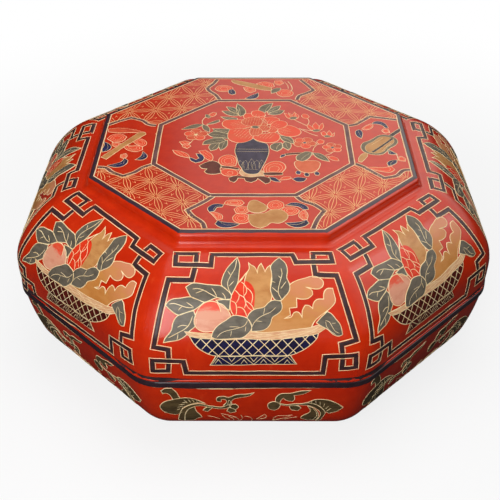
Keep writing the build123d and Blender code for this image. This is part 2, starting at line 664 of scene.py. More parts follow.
def inside(outline: Sequence[Point], x: float, y: float) -> bool:
    """Whether a place lies in a closed outline.

    Args:
        outline: The outline's points.
        x: The place's first coordinate.
        y: The place's second coordinate.

    Returns:
        True when it is inside.
    """
    hit = False
    for (ax, ay), (bx, by) in zip(outline, [*outline[1:], outline[0]]):
        if (ay > y) != (by > y) and x < (bx - ax) * (y - ay) / (by - ay) + ax:
            hit = not hit
    return hit


def clipped(path: Sequence[Vector], keep: Test) -> list[list[Vector]]:
    """The runs of a path whose points pass a test.

    Args:
        path: The points.
        keep: The test.

    Returns:
        The runs of two points or more.
    """
    runs: list[list[Vector]] = [[]]
    for p in path:
        if keep(p.x, p.y):
            runs[-1].append(p)
        elif runs[-1]:
            runs.append([])
    return [run for run in runs if len(run) > 1]


def rank(face: bmesh.types.BMFace, count: int) -> float:
    """A face's place in an order that is the same in each run.

    Args:
        face: The face.
        count: How many corners its mesh has.

    Returns:
        A number made of its three lowest corner indices.
    """
    low, middle, high = sorted(corner.index for corner in face.verts)[:3]
    return float((low * count + middle) * count + high)


@dataclass
class Station:
    """One place along a brush line."""

    centre: Vector
    across: Vector
    width: float
    height: float
    paint: Paint


@dataclass
class Drawing:
    """Ornament drawn flat, in millimetres, before it is wrapped on the box."""

    level_height: float = 0.03
    ground: float = 0.1
    crown: float = 0.07
    foot: float = -0.1
    coat: float = 0.0015
    coats: int = 12
    tip: float = 0.35
    swell: float = 0.16
    swell_rate: float = 0.11
    rail_places: tuple[float, ...] = (0.5, 0.3, 0.0, -0.3, -0.5)
    rail_lifts: tuple[float, ...] = (0.0, 0.82, 1.0, 0.82, 0.0)
    areas: list[tuple[list[Vector], Paint, int]] = field(default_factory=list)
    lines: list[tuple[list[Station], bool]] = field(default_factory=list)

    def line(
        self,
        path: Sequence[Vector],
        closed: bool = False,
        width: float = GOLD_WIDTH,
        level: int = 0,
        paint: Paint = Paint.GOLD,
        taper: bool = True,
    ) -> None:
        """Lays a brush line.

        Args:
            path: Its points.
            closed: Whether the last joins the first.
            width: Its width.
            level: How many layers of paint it lies on.
            paint: Its paint.
            taper: Whether its free ends thin out.
        """
        if len(path) < 2:
            return
        height = self.ground + self.level_height * level + self.crown
        ends = (0, len(path) - 1) if taper and not closed else ()
        stations = []
        for i, (p, m) in enumerate(zip(path, mitres(path, closed))):
            thin = self.tip if i in ends else 1.0
            press = 1.0 + self.swell * tremor(p.x, p.y, self.swell_rate, level + 0.5)
            stations.append(Station(p, m, width * thin * press, height, paint))
        self.lines.append((stations, closed))

    def area(
        self,
        outline: Sequence[Vector],
        paint: Paint,
        level: int = 0,
        rim: float = GOLD_WIDTH,
    ) -> None:
        """Lays a filled shape with a gold rim.

        Args:
            outline: Its closed outline.
            paint: The fill.
            level: How many layers of paint it lies on.
            rim: The width of its gold outline, or 0 for none.
        """
        twice = sum(
            a.x * b.y - b.x * a.y for a, b in zip(outline, [*outline[1:], outline[0]])
        )
        ordered = list(outline) if twice > 0 else list(reversed(outline))
        self.areas.append((ordered, paint, level))
        if rim:
            self.line(ordered, True, rim, level)

    def fill(
        self,
        outline: Drawn,
        paint: Paint,
        level: int = 0,
        rim: float = GOLD_WIDTH,
        step: float = STEP,
    ) -> None:
        """Lays a smooth filled shape through the points of an outline."""
        self.area(flow(outline, True, step), paint, level, rim)

    def stroke(
        self, points: Drawn, width: float = GOLD_WIDTH, level: int = 0, paint: Paint = Paint.GOLD
    ) -> None:
        """Lays a smooth open line through points."""
        self.line(flow(points), False, width, level, paint)

    def leaf(
        self,
        outline: Drawn,
        veins: Iterable[Drawn],
        level: int,
        paint: Paint = Paint.LEAF,
        width: float = 0.8,
    ) -> None:
        """Lays a leaf and its gold veins.

        Args:
            outline: The leaf's outline.
            veins: Its veins.
            level: How many layers of paint it lies on.
            paint: The fill.
            width: The width of the veins.
        """
        self.fill(outline, paint, level)
        for vein in veins:
            self.stroke(vein, width, level)

    def band(
        self,
        path: Sequence[Vector],
        closed: bool,
        width: float,
        level: int = 0,
        gold: float = GOLD_WIDTH,
        hidden: Test | None = None,
        paint: Paint = Paint.DARK,
    ) -> None:
        """Lays a dark band edged in gold.

        Args:
            path: Its centre line.
            closed: Whether the last joins the first.
            width: The dark part's width.
            level: How many layers of paint it lies on.
            gold: The width of each gold edge.
            hidden: Where another band passes over its gold edges.
            paint: The dark part's paint.
        """
        height = self.ground + self.level_height * level
        stations = [
            Station(p, m, width + gold, height, paint)
            for p, m in zip(path, mitres(path, closed))
        ]
        self.lines.append((stations, closed))
        for side in (-1, 1):
            edge = shifted(path, closed, side * (width + gold) / 2)
            if hidden is None:
                self.line(edge, closed, gold, level, taper=False)
                continue
            loop = [*edge, edge[0]] if closed else edge
            for run in clipped(loop, lambda x, y: not hidden(x, y)):
                self.line(run, False, gold, level, taper=False)

    def hatch(
        self, outline: Drawn, angle: float, spacing: float, width: float, level: int
    ) -> None:
        """Rules thin gold lines across an outline, a little short of it at both ends.

        Args:
            outline: The closed outline.
            angle: The lines' direction in degrees.
            spacing: The distance between them.
            width: Their width.
            level: How many layers of paint they lie on.
        """
        turn = math.radians(angle)
        along = Vector((math.cos(turn), math.sin(turn)))
        across = Vector((-along.y, along.x))
        outline = points_of(outline)
        knots = [Vector(p) for p in outline]
        reach = [k.dot(across) for k in knots]
        ends = [k.dot(along) for k in knots]
        steps = range(int((max(ends) - min(ends)) / HATCH_STEP) + 2)
        for n in range(math.ceil(min(reach) / spacing), math.floor(max(reach) / spacing) + 1):
            path = [across * (n * spacing) + along * (min(ends) + HATCH_STEP * i) for i in steps]
            for run in clipped(path, lambda x, y: inside(outline, x, y)):
                short = run[1:-1]
                short = short[::2] + short[-1:] if len(short) > 2 else short
                self.line(short, width=width, level=level)

    def flat(self, cuts: Iterable[tuple[Vector, Vector]]) -> FlatMesh:
        """The whole drawing as a flat mesh with its heights in z.

        Args:
            cuts: Planes, as point and normal, that divide the fills for wrapping.

        Returns:
            The mesh.
        """
        fills = bmesh.new()
        lift = fills.verts.layers.float.new("lift")
        for order, (outline, paint, level) in enumerate(self.areas):
            coat = self.coat * (order % self.coats)
            corners = []
            for p in outline:
                corner = fills.verts.new((p.x, p.y, 0.0))
                corner[lift] = self.ground + self.level_height * level + coat
                corners.append(corner)
            fills.faces.new(corners).material_index = paint.slot
        fills.normal_update()
        bmesh.ops.triangulate(fills, faces=fills.faces[:], ngon_method="EAR_CLIP")
        for place, normal in cuts:
            geometry = [*fills.verts, *fills.edges, *fills.faces]
            bmesh.ops.bisect_plane(
                fills, geom=geometry, dist=1e-5, plane_co=place, plane_no=normal
            )
        bmesh.ops.triangulate(fills, faces=fills.faces[:])
        for corner in fills.verts:
            corner.co.z = corner[lift]
        mesh = bpy.data.meshes.new("drawing")
        fills.to_mesh(mesh)
        fills.free()
        strokes = self._strokes()
        strokes.from_mesh(mesh)
        bpy.data.meshes.remove(mesh)
        strokes.verts.index_update()
        count = len(strokes.verts)
        strokes.faces.sort(key=lambda face: rank(face, count))
        return strokes

    def _strokes(self) -> FlatMesh:
        """The brush lines as crowned ribbons, extruded rail by rail."""
        ribbons = bmesh.new()
        station_of = ribbons.verts.layers.int.new("station")
        stations: list[Station] = []
        edges = []
        for run, closed in self.lines:
            rail = []
            for station in run:
                corner = ribbons.verts.new((0.0, 0.0, 0.0))
                corner[station_of] = len(stations)
                stations.append(station)
                rail.append(corner)
            edges += [ribbons.edges.new(pair) for pair in zip(rail, rail[1:])]
            if closed:
                edges.append(ribbons.edges.new((rail[-1], rail[0])))
        corners = ribbons.verts[:]
        for place, raised in zip(self.rail_places, self.rail_lifts):
            if place != self.rail_places[0]:
                made = bmesh.ops.extrude_edge_only(ribbons, edges=edges)["geom"]
                corners = [g for g in made if isinstance(g, bmesh.types.BMVert)]
                fresh = set(corners)
                edges = [
                    g
                    for g in made
                    if isinstance(g, bmesh.types.BMEdge) and fresh.issuperset(g.verts)
                ]
            for corner in corners:
                station = stations[corner[station_of]]
                flat = station.centre + station.across * (place * station.width)
                height = self.foot + (station.height - self.foot) * raised
                corner.co = (flat.x, flat.y, height)
        ribbons.normal_update()
        under = [f for f in ribbons.faces if f.normal.z < 0]
        bmesh.ops.reverse_faces(ribbons, faces=under)
        for face in ribbons.faces:
            face.material_index = stations[face.verts[0][station_of]].paint.slot
        return ribbons


class Skin:
    """A surface of the box that a flat drawing is wrapped on."""

    def place(self, x: float, y: float, height: float) -> Vector:
        """The place on the box, in metres, of a drawn point."""
        raise NotImplementedError

    def cuts(self) -> list[tuple[Vector, Vector]]:
        """The planes that divide the fills so that they follow the surface."""
        return []


PAINT_MATERIALS: list[bpy.types.Material] = []


def wrap(name: str, flat: FlatMesh, skin: Skin, body: str) -> None:
    """Makes a piece of a flat drawing by wrapping it on the box.

    Args:
        name: The piece's name.
        flat: The drawing.
        skin: The surface it goes on.
        body: The body it rides on.
    """
    shape = flat.copy()
    drawn = shape.verts.layers.float_vector.new("drawn")
    for corner in shape.verts:
        corner[drawn] = corner.co
        corner.co = skin.place(*corner.co)
    for face in shape.faces:
        face.smooth = True
    shape.normal_update()
    mesh = bpy.data.meshes.new(name)
    shape.to_mesh(mesh)
    shape.free()
    for attribute in ("station", "lift"):
        if attribute in mesh.attributes:
            mesh.attributes.remove(mesh.attributes[attribute])
    for material in PAINT_MATERIALS:
        mesh.materials.append(material)
    piece = placed(name, mesh)
    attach(piece, body)
    triangles = sum(len(p.vertices) - 2 for p in mesh.polygons)
    LOG.info("%s: %d triangles on %s", name, triangles, body)


@dataclass(frozen=True)
class Outline:
    """The box's vertical outline, as arcs met end to end, in millimetres."""

    widest: float = 187.5
    widest_height: float = 90.0
    seam_height: float = 70.0
    side: tuple[float, float] = (40.0, 27.0)
    flank: tuple[float, float] = (86.0, 29.0)
    shoulder: tuple[float, float] = (40.0, 24.0)
    belly: float = 215.0
    heel: float = 40.0
    heel_end: float = 80.0

    def _toward(self, centre: Point, radius: float, degrees: float) -> Point:
        """A place at a radius and an angle from a centre."""
        turn = math.radians(degrees)
        return (centre[0] + radius * math.cos(turn), centre[1] + radius * math.sin(turn))

    def at(self, along: float) -> tuple[float, float, float]:
        """The outline at an arc length from the seam.

        Args:
            along: Millimetres up from the seam, or down when negative.

        Returns:
            The distance from the axis, the height, and the normal's angle in degrees.
        """
        belly = (self.widest - self.belly, self.widest_height)
        drop = self.widest_height - self.heel * math.sin(math.radians(self.heel_end))
        heel_start = math.degrees(math.asin(drop / (self.belly - self.heel)))
        seam = math.degrees(math.asin((self.widest_height - self.seam_height) / self.belly))
        below = self.belly * math.radians(heel_start - seam)
        above = self.belly * math.radians(seam)
        if -below <= along <= above:
            turn = -seam + math.degrees(along / self.belly)
            return (*self._toward(belly, self.belly, turn), turn)
        if along < 0:
            heel = self._toward(belly, self.belly - self.heel, -heel_start)
            turn = -heel_start + math.degrees((along + below) / self.heel)
            return (*self._toward(heel, self.heel, turn), turn)
        along -= above
        start, last = 0.0, self.side[0]
        centre = (self.widest - last, self.widest_height)
        for radius, sweep in (self.side, self.flank, self.shoulder):
            centre = self._toward(centre, last - radius, start)
            length = radius * math.radians(sweep)
            if along <= length:
                turn = start + math.degrees(along / radius)
                return (*self._toward(centre, radius, turn), turn)
            along -= length
            start += sweep
            last = radius
        rim, height = self._toward(centre, last, start)
        return (rim - along, height, 90.0)


OUTLINE = Outline()
QUARTERS = ((-57.5, 78.7), (57.5, 82.0), (-46.0, 9.0), (49.5, 9.0))


def tree_of(nodes: Iterable[str]) -> BVHTree:
    """A search tree over some CAD nodes' faces.

    Args:
        nodes: The nodes' names.

    Returns:
        The tree, in metres.
    """
    corners: list[Vector] = []
    faces: list[list[int]] = []
    for name in nodes:
        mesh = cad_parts[name].data
        first = len(corners)
        corners.extend(v.co.copy() for v in mesh.vertices)
        faces.extend([first + i for i in p.vertices] for p in mesh.polygons)
    return BVHTree.FromPolygons(corners, faces)


@dataclass
class SideSkin(Skin):
    """One side of the lid or the base, drawn as seen from outside."""

    panel: int
    tree: BVHTree
    corners: tuple[Point, Point, Point, Point] = QUARTERS
    waver: float = 0.35
    rate: float = 0.07
    seeds: tuple[float, float] = (0.0, 31.0)
    seed_step: float = 7.3
    clear: float = 15.0

    def bend(self, x: float, y: float) -> Point:
        """Moves a drawn place as this panel's own hand drawing is.

        Args:
            x: Across, in millimetres.
            y: Up from the seam, in millimetres.

        Returns:
            The moved place.
        """
        s = (x - QUARTERS[2][0]) / (QUARTERS[3][0] - QUARTERS[2][0])
        t = (y - QUARTERS[2][1]) / (QUARTERS[0][1] - QUARTERS[2][1])
        s, t = min(max(s, -0.3), 1.3), min(max(t, -0.2), 1.35)
        shift = [Vector(own) - Vector(first) for own, first in zip(self.corners, QUARTERS)]
        top = shift[0].lerp(shift[1], s)
        bottom = shift[2].lerp(shift[3], s)
        moved = Vector((x, y)) + bottom.lerp(top, t)
        for axis, seed in enumerate(self.seeds):
            seed += self.panel * self.seed_step
            moved[axis] += self.waver * tremor(x, y, self.rate, seed)
        return tuple(moved)

    def place(self, x: float, y: float, height: float) -> Vector:
        """The place on the box of a drawn point.

        Args:
            x: Across, in millimetres.
            y: Up from the seam, in millimetres.
            height: Out from the surface, in millimetres.

        Returns:
            The place, in metres.
        """
        across, up = self.bend(x, y)
        reach, level, angle = OUTLINE.at(up)
        turn = math.radians(angle)
        out = Vector((0.0, -math.cos(turn), math.sin(turn)))
        start = Vector((across, -reach, level)) + out * self.clear
        found = self.tree.ray_cast(start * MM, -out, 3 * self.clear * MM)[0]
        spot = found if found is not None else Vector((across, -reach, level)) * MM
        spot = spot + out * (height * MM)
        return Matrix.Rotation(SECTOR * (self.panel - 1), 3, "Z") @ spot

    def cuts(self) -> list[tuple[Vector, Vector]]:
        """Level planes every few millimetres, and upright ones near the ridges."""
        up, right = Vector((0, 1, 0)), Vector((1, 0, 0))
        planes = [(Vector((0, v, 0)), up) for v in range(-60, 104, 3)]
        for u in (50, 53, 56, 59, 62, 65, 68):
            planes += [(Vector((u, 0, 0)), right), (Vector((-u, 0, 0)), right)]
        return planes


@dataclass
class PlateSkin(Skin):
    """The flat top of the lid, drawn as seen from above."""

    top: float
    thinness: float = 0.4
    waver: float = 0.3
    rate: float = 0.06
    seeds: tuple[float, float] = (3.0, 9.0)
    drift: float = 3.0
    lean: float = 0.03

    def place(self, x: float, y: float, height: float) -> Vector:
        """The place on the box of a drawn point.

        Args:
            x: Right, in millimetres.
            y: Back, in millimetres.
            height: Up from the plate, in millimetres.

        Returns:
            The place, in metres.
        """
        dx, dy = (self.waver * tremor(x, y, self.rate, seed) for seed in self.seeds)
        left = x - self.drift - self.lean * y + dx
        return Vector((left * MM, (y + dy) * MM, self.top + height * self.thinness * MM))


@dataclass
class FretFrame:
    """The dark fret round a side of the lid, with a square knot at each corner."""

    band: float = 3.4
    gold: float = 0.68
    inset: float = 2.5
    path: str = (
        "-28,98.7 -28.5,89.3 -53,90 -53,99.8 -38.5,99.6 -39,90 -41.5,78.5 -57.5,78.7 -67.5,32 "
        "-57.5,30 -57.5,22 -58.5,11 -69,11 -69,21 -47.5,20 -46,9.2 49,9.2 50,24.5 71,26 71.5,14.5 "
        "62,14 62,24 60.7,34.5 71,37.3 57.5,82 43,82.5 42,92 42,100.2 54,100.2 55,92.5 30,92 "
        "27.5,98.7"
    )
    over: tuple[tuple[Point, Point], ...] = (
        ((-53, 90), (-28.5, 89.3)), ((-69, 21), (-47.5, 20)),
        ((50, 24.5), (71, 26)), ((55, 92.5), (30, 92)),
    )

    def _hidden(self, x: float, y: float) -> bool:
        """Whether a bar that passes over covers this place of a bar under it."""
        place = Vector((x, y))
        for first, last in self.over:
            a, b = Vector(first), Vector(last)
            aim = (b - a).normalized()
            along = (place - a).dot(aim)
            off = abs((place - a).cross(aim))
            if self.inset < along < (b - a).length - self.inset and off < self.band / 2:
                return True
        return False

    def draw(self, drawing: Drawing) -> None:
        """Draws the frame."""
        path = straight(self.path, True)
        drawing.band(path, True, self.band, gold=self.gold, hidden=self._hidden)


@dataclass
class FruitBasket:
    """The basket of fruit in the middle of a side of the lid."""

    bowl_paint: Paint = Paint.NAVY
    bowl: str = (
        "-43,40.5 -41,36.5 -37.5,32 -33,28.5 -28,25.8 -24.5,25.2 0,25.2 26,26 31,28 36.5,31.5 "
        "41,35.5 44,39 45,42.5 30,40.5 10,38.5 -20,38.5"
    )
    foot: str = "-25,25.2 26,26 30.5,18.3 -29,16.8"
    rim: str = (
        "-46,43.2 -35,42 -28,41.5 0,43 10,42.8 20,43.5 30,45 40,46.3 46,47.8 49.5,45.5 44,42 40,41 "
        "30,39.5 20,38 10,37.5 0,38 -25,37.8 -38,38.8 -44,40.8"
    )
    weave: float = 7.9
    slope: float = 47.0
    strands: tuple[Point, ...] = ((0.9, 0.0), (2.2, 1.9), (3.4, 3.7))

    def draw(self, drawing: Drawing) -> None:
        """Draws the basket, back to front."""
        self._greens(drawing)
        self._fruit(drawing)
        self._basket(drawing)
        self._front_leaves(drawing)

    def _basket(self, drawing: Drawing) -> None:
        """Draws the woven bowl, its foot and its rim."""
        drawing.area(straight(self.foot, True), self.bowl_paint, 0)
        zigzag = "-28,17.3 -23.5,25 -14.2,17.5 -5.5,25 1.2,17.7 8,25 15.5,17.9 24,25.4 29.6,18.6"
        drawing.line(straight(zigzag), width=0.7)
        peaks, dips = (-23.5, -5.5, 8, 24), (-14.2, 1.2, 15.5)
        chevrons = [((x - 2.3, 18.3), (x, 22.2), (x + 2.4, 18.4)) for x in peaks]
        chevrons += [((x - 2.6, 24.6), (x, 20.4), (x + 2.8, 24.6)) for x in dips]
        for chevron in chevrons:
            drawing.line(straight(chevron), width=0.65)
        edge = flow(self.bowl, True)
        drawing.area(edge, self.bowl_paint, 1)
        shape = [(p.x, p.y) for p in edge]
        for side in (-1, 1):
            turn = math.radians(self.slope) * side
            aim = Vector((math.cos(turn), math.sin(turn))) * side
            for n in range(-12, 13):
                foot = Vector((0.4 + n * self.weave, 25.4))
                path = [foot + aim * s for s in range(0, 34)]
                for run in clipped(path, lambda x, y: inside(shape, x, y)):
                    drawing.line(run, level=1, taper=False)
        drawing.fill(self.rim, Paint.CREAM, 5, 0.6)
        shape = [(p.x, p.y) for p in flow(self.rim, True)]
        floor = flow("-44,41.2 -38,38.8 -25,37.8 0,38 20,38 40,41 48,44")
        for lift, phase in self.strands:
            sway = [0.45 * math.sin(0.5 * p.x + phase) for p in floor]
            wave = [Vector((p.x, p.y + lift + s)) for p, s in zip(floor, sway)]
            for run in clipped(wave, lambda x, y: inside(shape, x, y)):
                drawing.line(run, width=0.42, level=5)

    def _fruit(self, drawing: Drawing) -> None:
        """Draws the pomegranate, the citron, the seed cluster and the peach."""
        crown = (
            "-2.7,91.5 -1.1,89.7 1,88.5 2.6,86.1 3.4,83.3 4.2,88.5 6,90.9 7.4,87.9 8.7,84.4 "
            "10,87.3 12.1,89.4 13.2,82 12.6,75 13.2,66 9,60 2,57 -3,60 -6,70 -5,79 -3.5,83.8 "
            "-2.1,86.7"
        )
        drawing.fill(crown, Paint.TAN, 1, 0.8)
        drawing.stroke("-9.2,77.3 -6.3,80.5 -3.4,84.6", level=1)
        citron = (
            "2,43 8,46 12,50 15,55 20,60 19.5,65 24,69 25.5,75 30,78 36,79.8 41,81.2 45,80.5 48,78 "
            "47.5,74 44.8,72.5 36.5,73.7 40.5,71.5 41,68.5 38,66 33,65.5 30,66.3 30.2,60 25,59.5 "
            "25.8,54.5 21.8,52.3 26.5,53.4 28,56 30,56.8 32,56 34,52.8 34.3,58 36,61.2 38.5,61 "
            "41,59 41.5,62.5 43.5,65 48.3,65.5 48.5,69.5 50.5,72.5 54.5,72.8 55.5,69 56.3,64 "
            "54,60.5 50,57 46,54 42.5,50.5 41,48 40,45 20,42.5"
        )
        drawing.fill(citron, Paint.CITRON, 1)
        cluster = (
            "-7.5,77.6 -5.4,77.9 -1.7,76.3 0.4,73.6 1.5,70.7 1.6,65.4 1.4,60.7 0.4,57.6 -3.3,52.9 "
            "-7.9,53.4 -12.5,54 -14.2,57.5 -15,60.7 -14.9,65.1 -14,68.3 -11.9,72.5 -9.6,76.4"
        )
        drawing.fill(cluster, Paint.CORAL, 2, 0.0)
        net = (
            "-5.4,81.4 -8,77.9 -9.6,76.4 -12.2,71.8 -14,68.3 -14.9,65.1",
            "-7.9,77.1 -6.1,76 -4.3,73.3 -1.9,71.4 -0.1,68.8 0.2,66.4 -0.6,62.2",
            "-12.2,71.8 -10.3,70.1 -9,68.3 -6.1,66.8 -4.3,64.2 -1.7,62.4 0.4,59.9 1.2,57.8",
            "-4.3,73.3 -3.9,70.9 -4.5,69.1 -5.8,67.3", "-9,68.3 -9.2,65.9 -10,64.1 -10.9,62.7",
            "-14.6,64.3 -12.6,63.5 -11.3,62.4 -10.6,60 -10.5,57 -10.8,54.7",
            "-10.4,59.9 -8.2,59.8 -6.1,58.8 -4.8,57 -4,54.9 -3.6,53.4",
            "-4.3,64.1 -4.4,61.7 -5.3,59.1", "-14.9,65.1 -15,60.7 -14.2,57.5 -12.5,54.4",
        )
        for strand in net:
            drawing.stroke(strand, level=2)
        peach = (
            "-26,43.5 -33,43 -37.5,45.5 -39.3,49 -39,53 -36,59.5 -32,62.8 -27,63.8 -23.8,62.8 "
            "-20,61.5 -17,58.5 -14.5,53.5 -16,48 -20,44"
        )
        drawing.fill(peach, Paint.PEACH, 2)
        blush = (
            "-38.6,52 -37.5,56.6 -35,60.6 -31.5,62.9 -27,63.5 -23.9,62.6 -22.2,59.5 -21.2,55.5 "
            "-19,52 -28,51.4"
        )
        drawing.fill(blush, Paint.PEACH_BLUSH, 3, 0.0)
        drawing.stroke("-24,62.8 -22.2,60 -21.2,56.4", level=3)

    def _greens(self, drawing: Drawing) -> None:
        """Draws the leaves behind the fruit."""
        leaves = (
            ("-10.5,96 -14,91.5 -18,86 -20.5,80 -21,75 -18.5,72.5 -16,70.5 -14.2,68.4 -12.6,71.4 "
             "-10,76.5 -9,84 -8.7,90", 2,
             ("-10.8,94.6 -11.9,87 -14.8,81.7 -16.9,76.7 -16.2,72.2 -14.2,68.2",
              "-17,85.1 -14.8,82", "-12.6,77.9 -15.9,74.4")),
            ("18.5,95.8 14.8,92.2 12.6,88.5 13.1,83.9 13.4,77.3 12.6,71.9 14.1,67.1 15.7,64.8 "
             "19.3,64.5 22,67.1 25.1,70.8 25.7,74.6 24.7,77.8 23.6,80 24,85.6 22.7,90.9", 5,
             ("19.5,87.3 20.2,83.3 18.9,77.3 17.8,71.9 17.8,69.8 20.1,65", "17.6,81.6 19.7,79.7",
              "23.3,77.8 21,74.6 19.4,72.4", "13.6,73.5 17.8,69.8", "13.2,77.6 15.8,76.8")),
            ("-45.4,73.6 -41.1,76.1 -37.2,76.1 -32.3,75.4 -26.4,74.9 -21.1,74.4 -17.6,71.9 "
             "-14.7,68.7 -14.2,66.3 -14.9,65.2 -18.5,65.1 -23.9,66.3 -29.2,64.3 -32.6,63.3 -37,65 "
             "-41.4,66.7 -43.4,69.7", 2,
             ("-40.7,72.1 -37.1,72.4 -32.7,71.2 -28.3,68.7 -23.9,66.5 -18.5,65.1 -14.9,65.3",
              "-38.3,69.2 -33.2,71.2", "-27.6,72.7 -25.4,69.7 -24.1,66.8",
              "-20.8,69.7 -19,67.7 -18.3,65.3")),
            ("-59,60.9 -56.9,63.8 -53.5,65.5 -49.2,66 -41.4,66.7 -37,65 -32.6,63.3 -35,61.4 "
             "-38.9,58.5 -45.2,56.1 -50,54.6 -55.4,57.5", 1,
             ("-56.6,61.8 -53.5,62.3 -49.1,61.1 -44.7,59.7 -39.9,59.5",
              "-44.7,63.1 -42.3,61.6 -39.9,59.9", "-47.6,60.4 -49.3,59 -50.3,57.7")),
            ("-60.4,35.4 -59.6,37.9 -54.9,44.4 -54.1,48.3 -52,52.7 -50,54.4 -45.2,56.1 -39.8,57.5 "
             "-38,52 -38.6,47.3 -42.8,43.4 -44.7,40.9 -50.1,37.4 -55.5,36.4", 1,
             ("-57.1,38.9 -51.5,41.9 -46.6,44.4 -43.7,46.8 -41.8,49.8 -40.4,54",
              "-50.8,46.3 -47.6,47.6 -43.7,47.1", "-50.5,41.9 -50.8,38.9 -51.6,36.9")),
            ("-24.5,64.5 -20,65 -15,65.5 -15.4,58 -20,60", 1, ()),
        )
        for outline, level, veins in leaves:
            drawing.leaf(outline, veins, level)

    def _front_leaves(self, drawing: Drawing) -> None:
        """Draws the leaves that hang over the rim."""
        leaves = (
            ("-27.5,39.3 -26.4,43 -23,47.4 -17.6,51 -12.5,54.2 -8,53.8 -3.4,52.3 -1,49.4 "
             "-0.6,45.6 -3,42 -7,39 -12,38.8 -19,38.3 -25,38.2", 9,
             ("-23.9,39.2 -21.4,42 -17.5,43.9 -13.6,44.7 -8.3,46 -5.2,47.5 -3.1,51",
              "-15.3,46.6 -11.7,46.6 -8.3,46.2", "-13.9,43.9 -14.6,40", "-4.4,47 -4.9,43.3")),
            ("-3.4,52.5 -2.1,55.1 1.6,58.2 7.9,59.8 11,62.9 14.1,64.5 19.3,64 20.1,61.4 19.9,58.3 "
             "16.7,55.1 13.6,53 12.6,49.4 10.5,46.2 7.9,44.6 -0.5,43.6 -0.5,46.7 -1.8,49.9", 9,
             ("-0.5,46.2 1.1,49.4 4.2,52.5 7.9,54.6 12.6,56.7 16.2,60.1", "7.6,54.9 8.4,59.8",
              "2.1,50.7 6.8,50.4")),
            ("43.8,49.4 46.4,52.6 49.1,55.2 50.6,56.8 53.2,55.7 56.9,51.6 59.5,48.4 60.6,45.3 "
             "61.4,41.6 59,40.5 55.4,41.5 51.7,44.7 50.1,45.8 48,46.8", 9,
             ("49.6,51 52.2,50 54.3,46.8 56.4,43.7 59.3,42.4",
              "49.8,50.5 50.6,46.8 53.3,43.7 57,41.4", "53.8,48.9 56.9,49.2")),
        )
        for outline, level, veins in leaves:
            drawing.leaf(outline, veins, level)


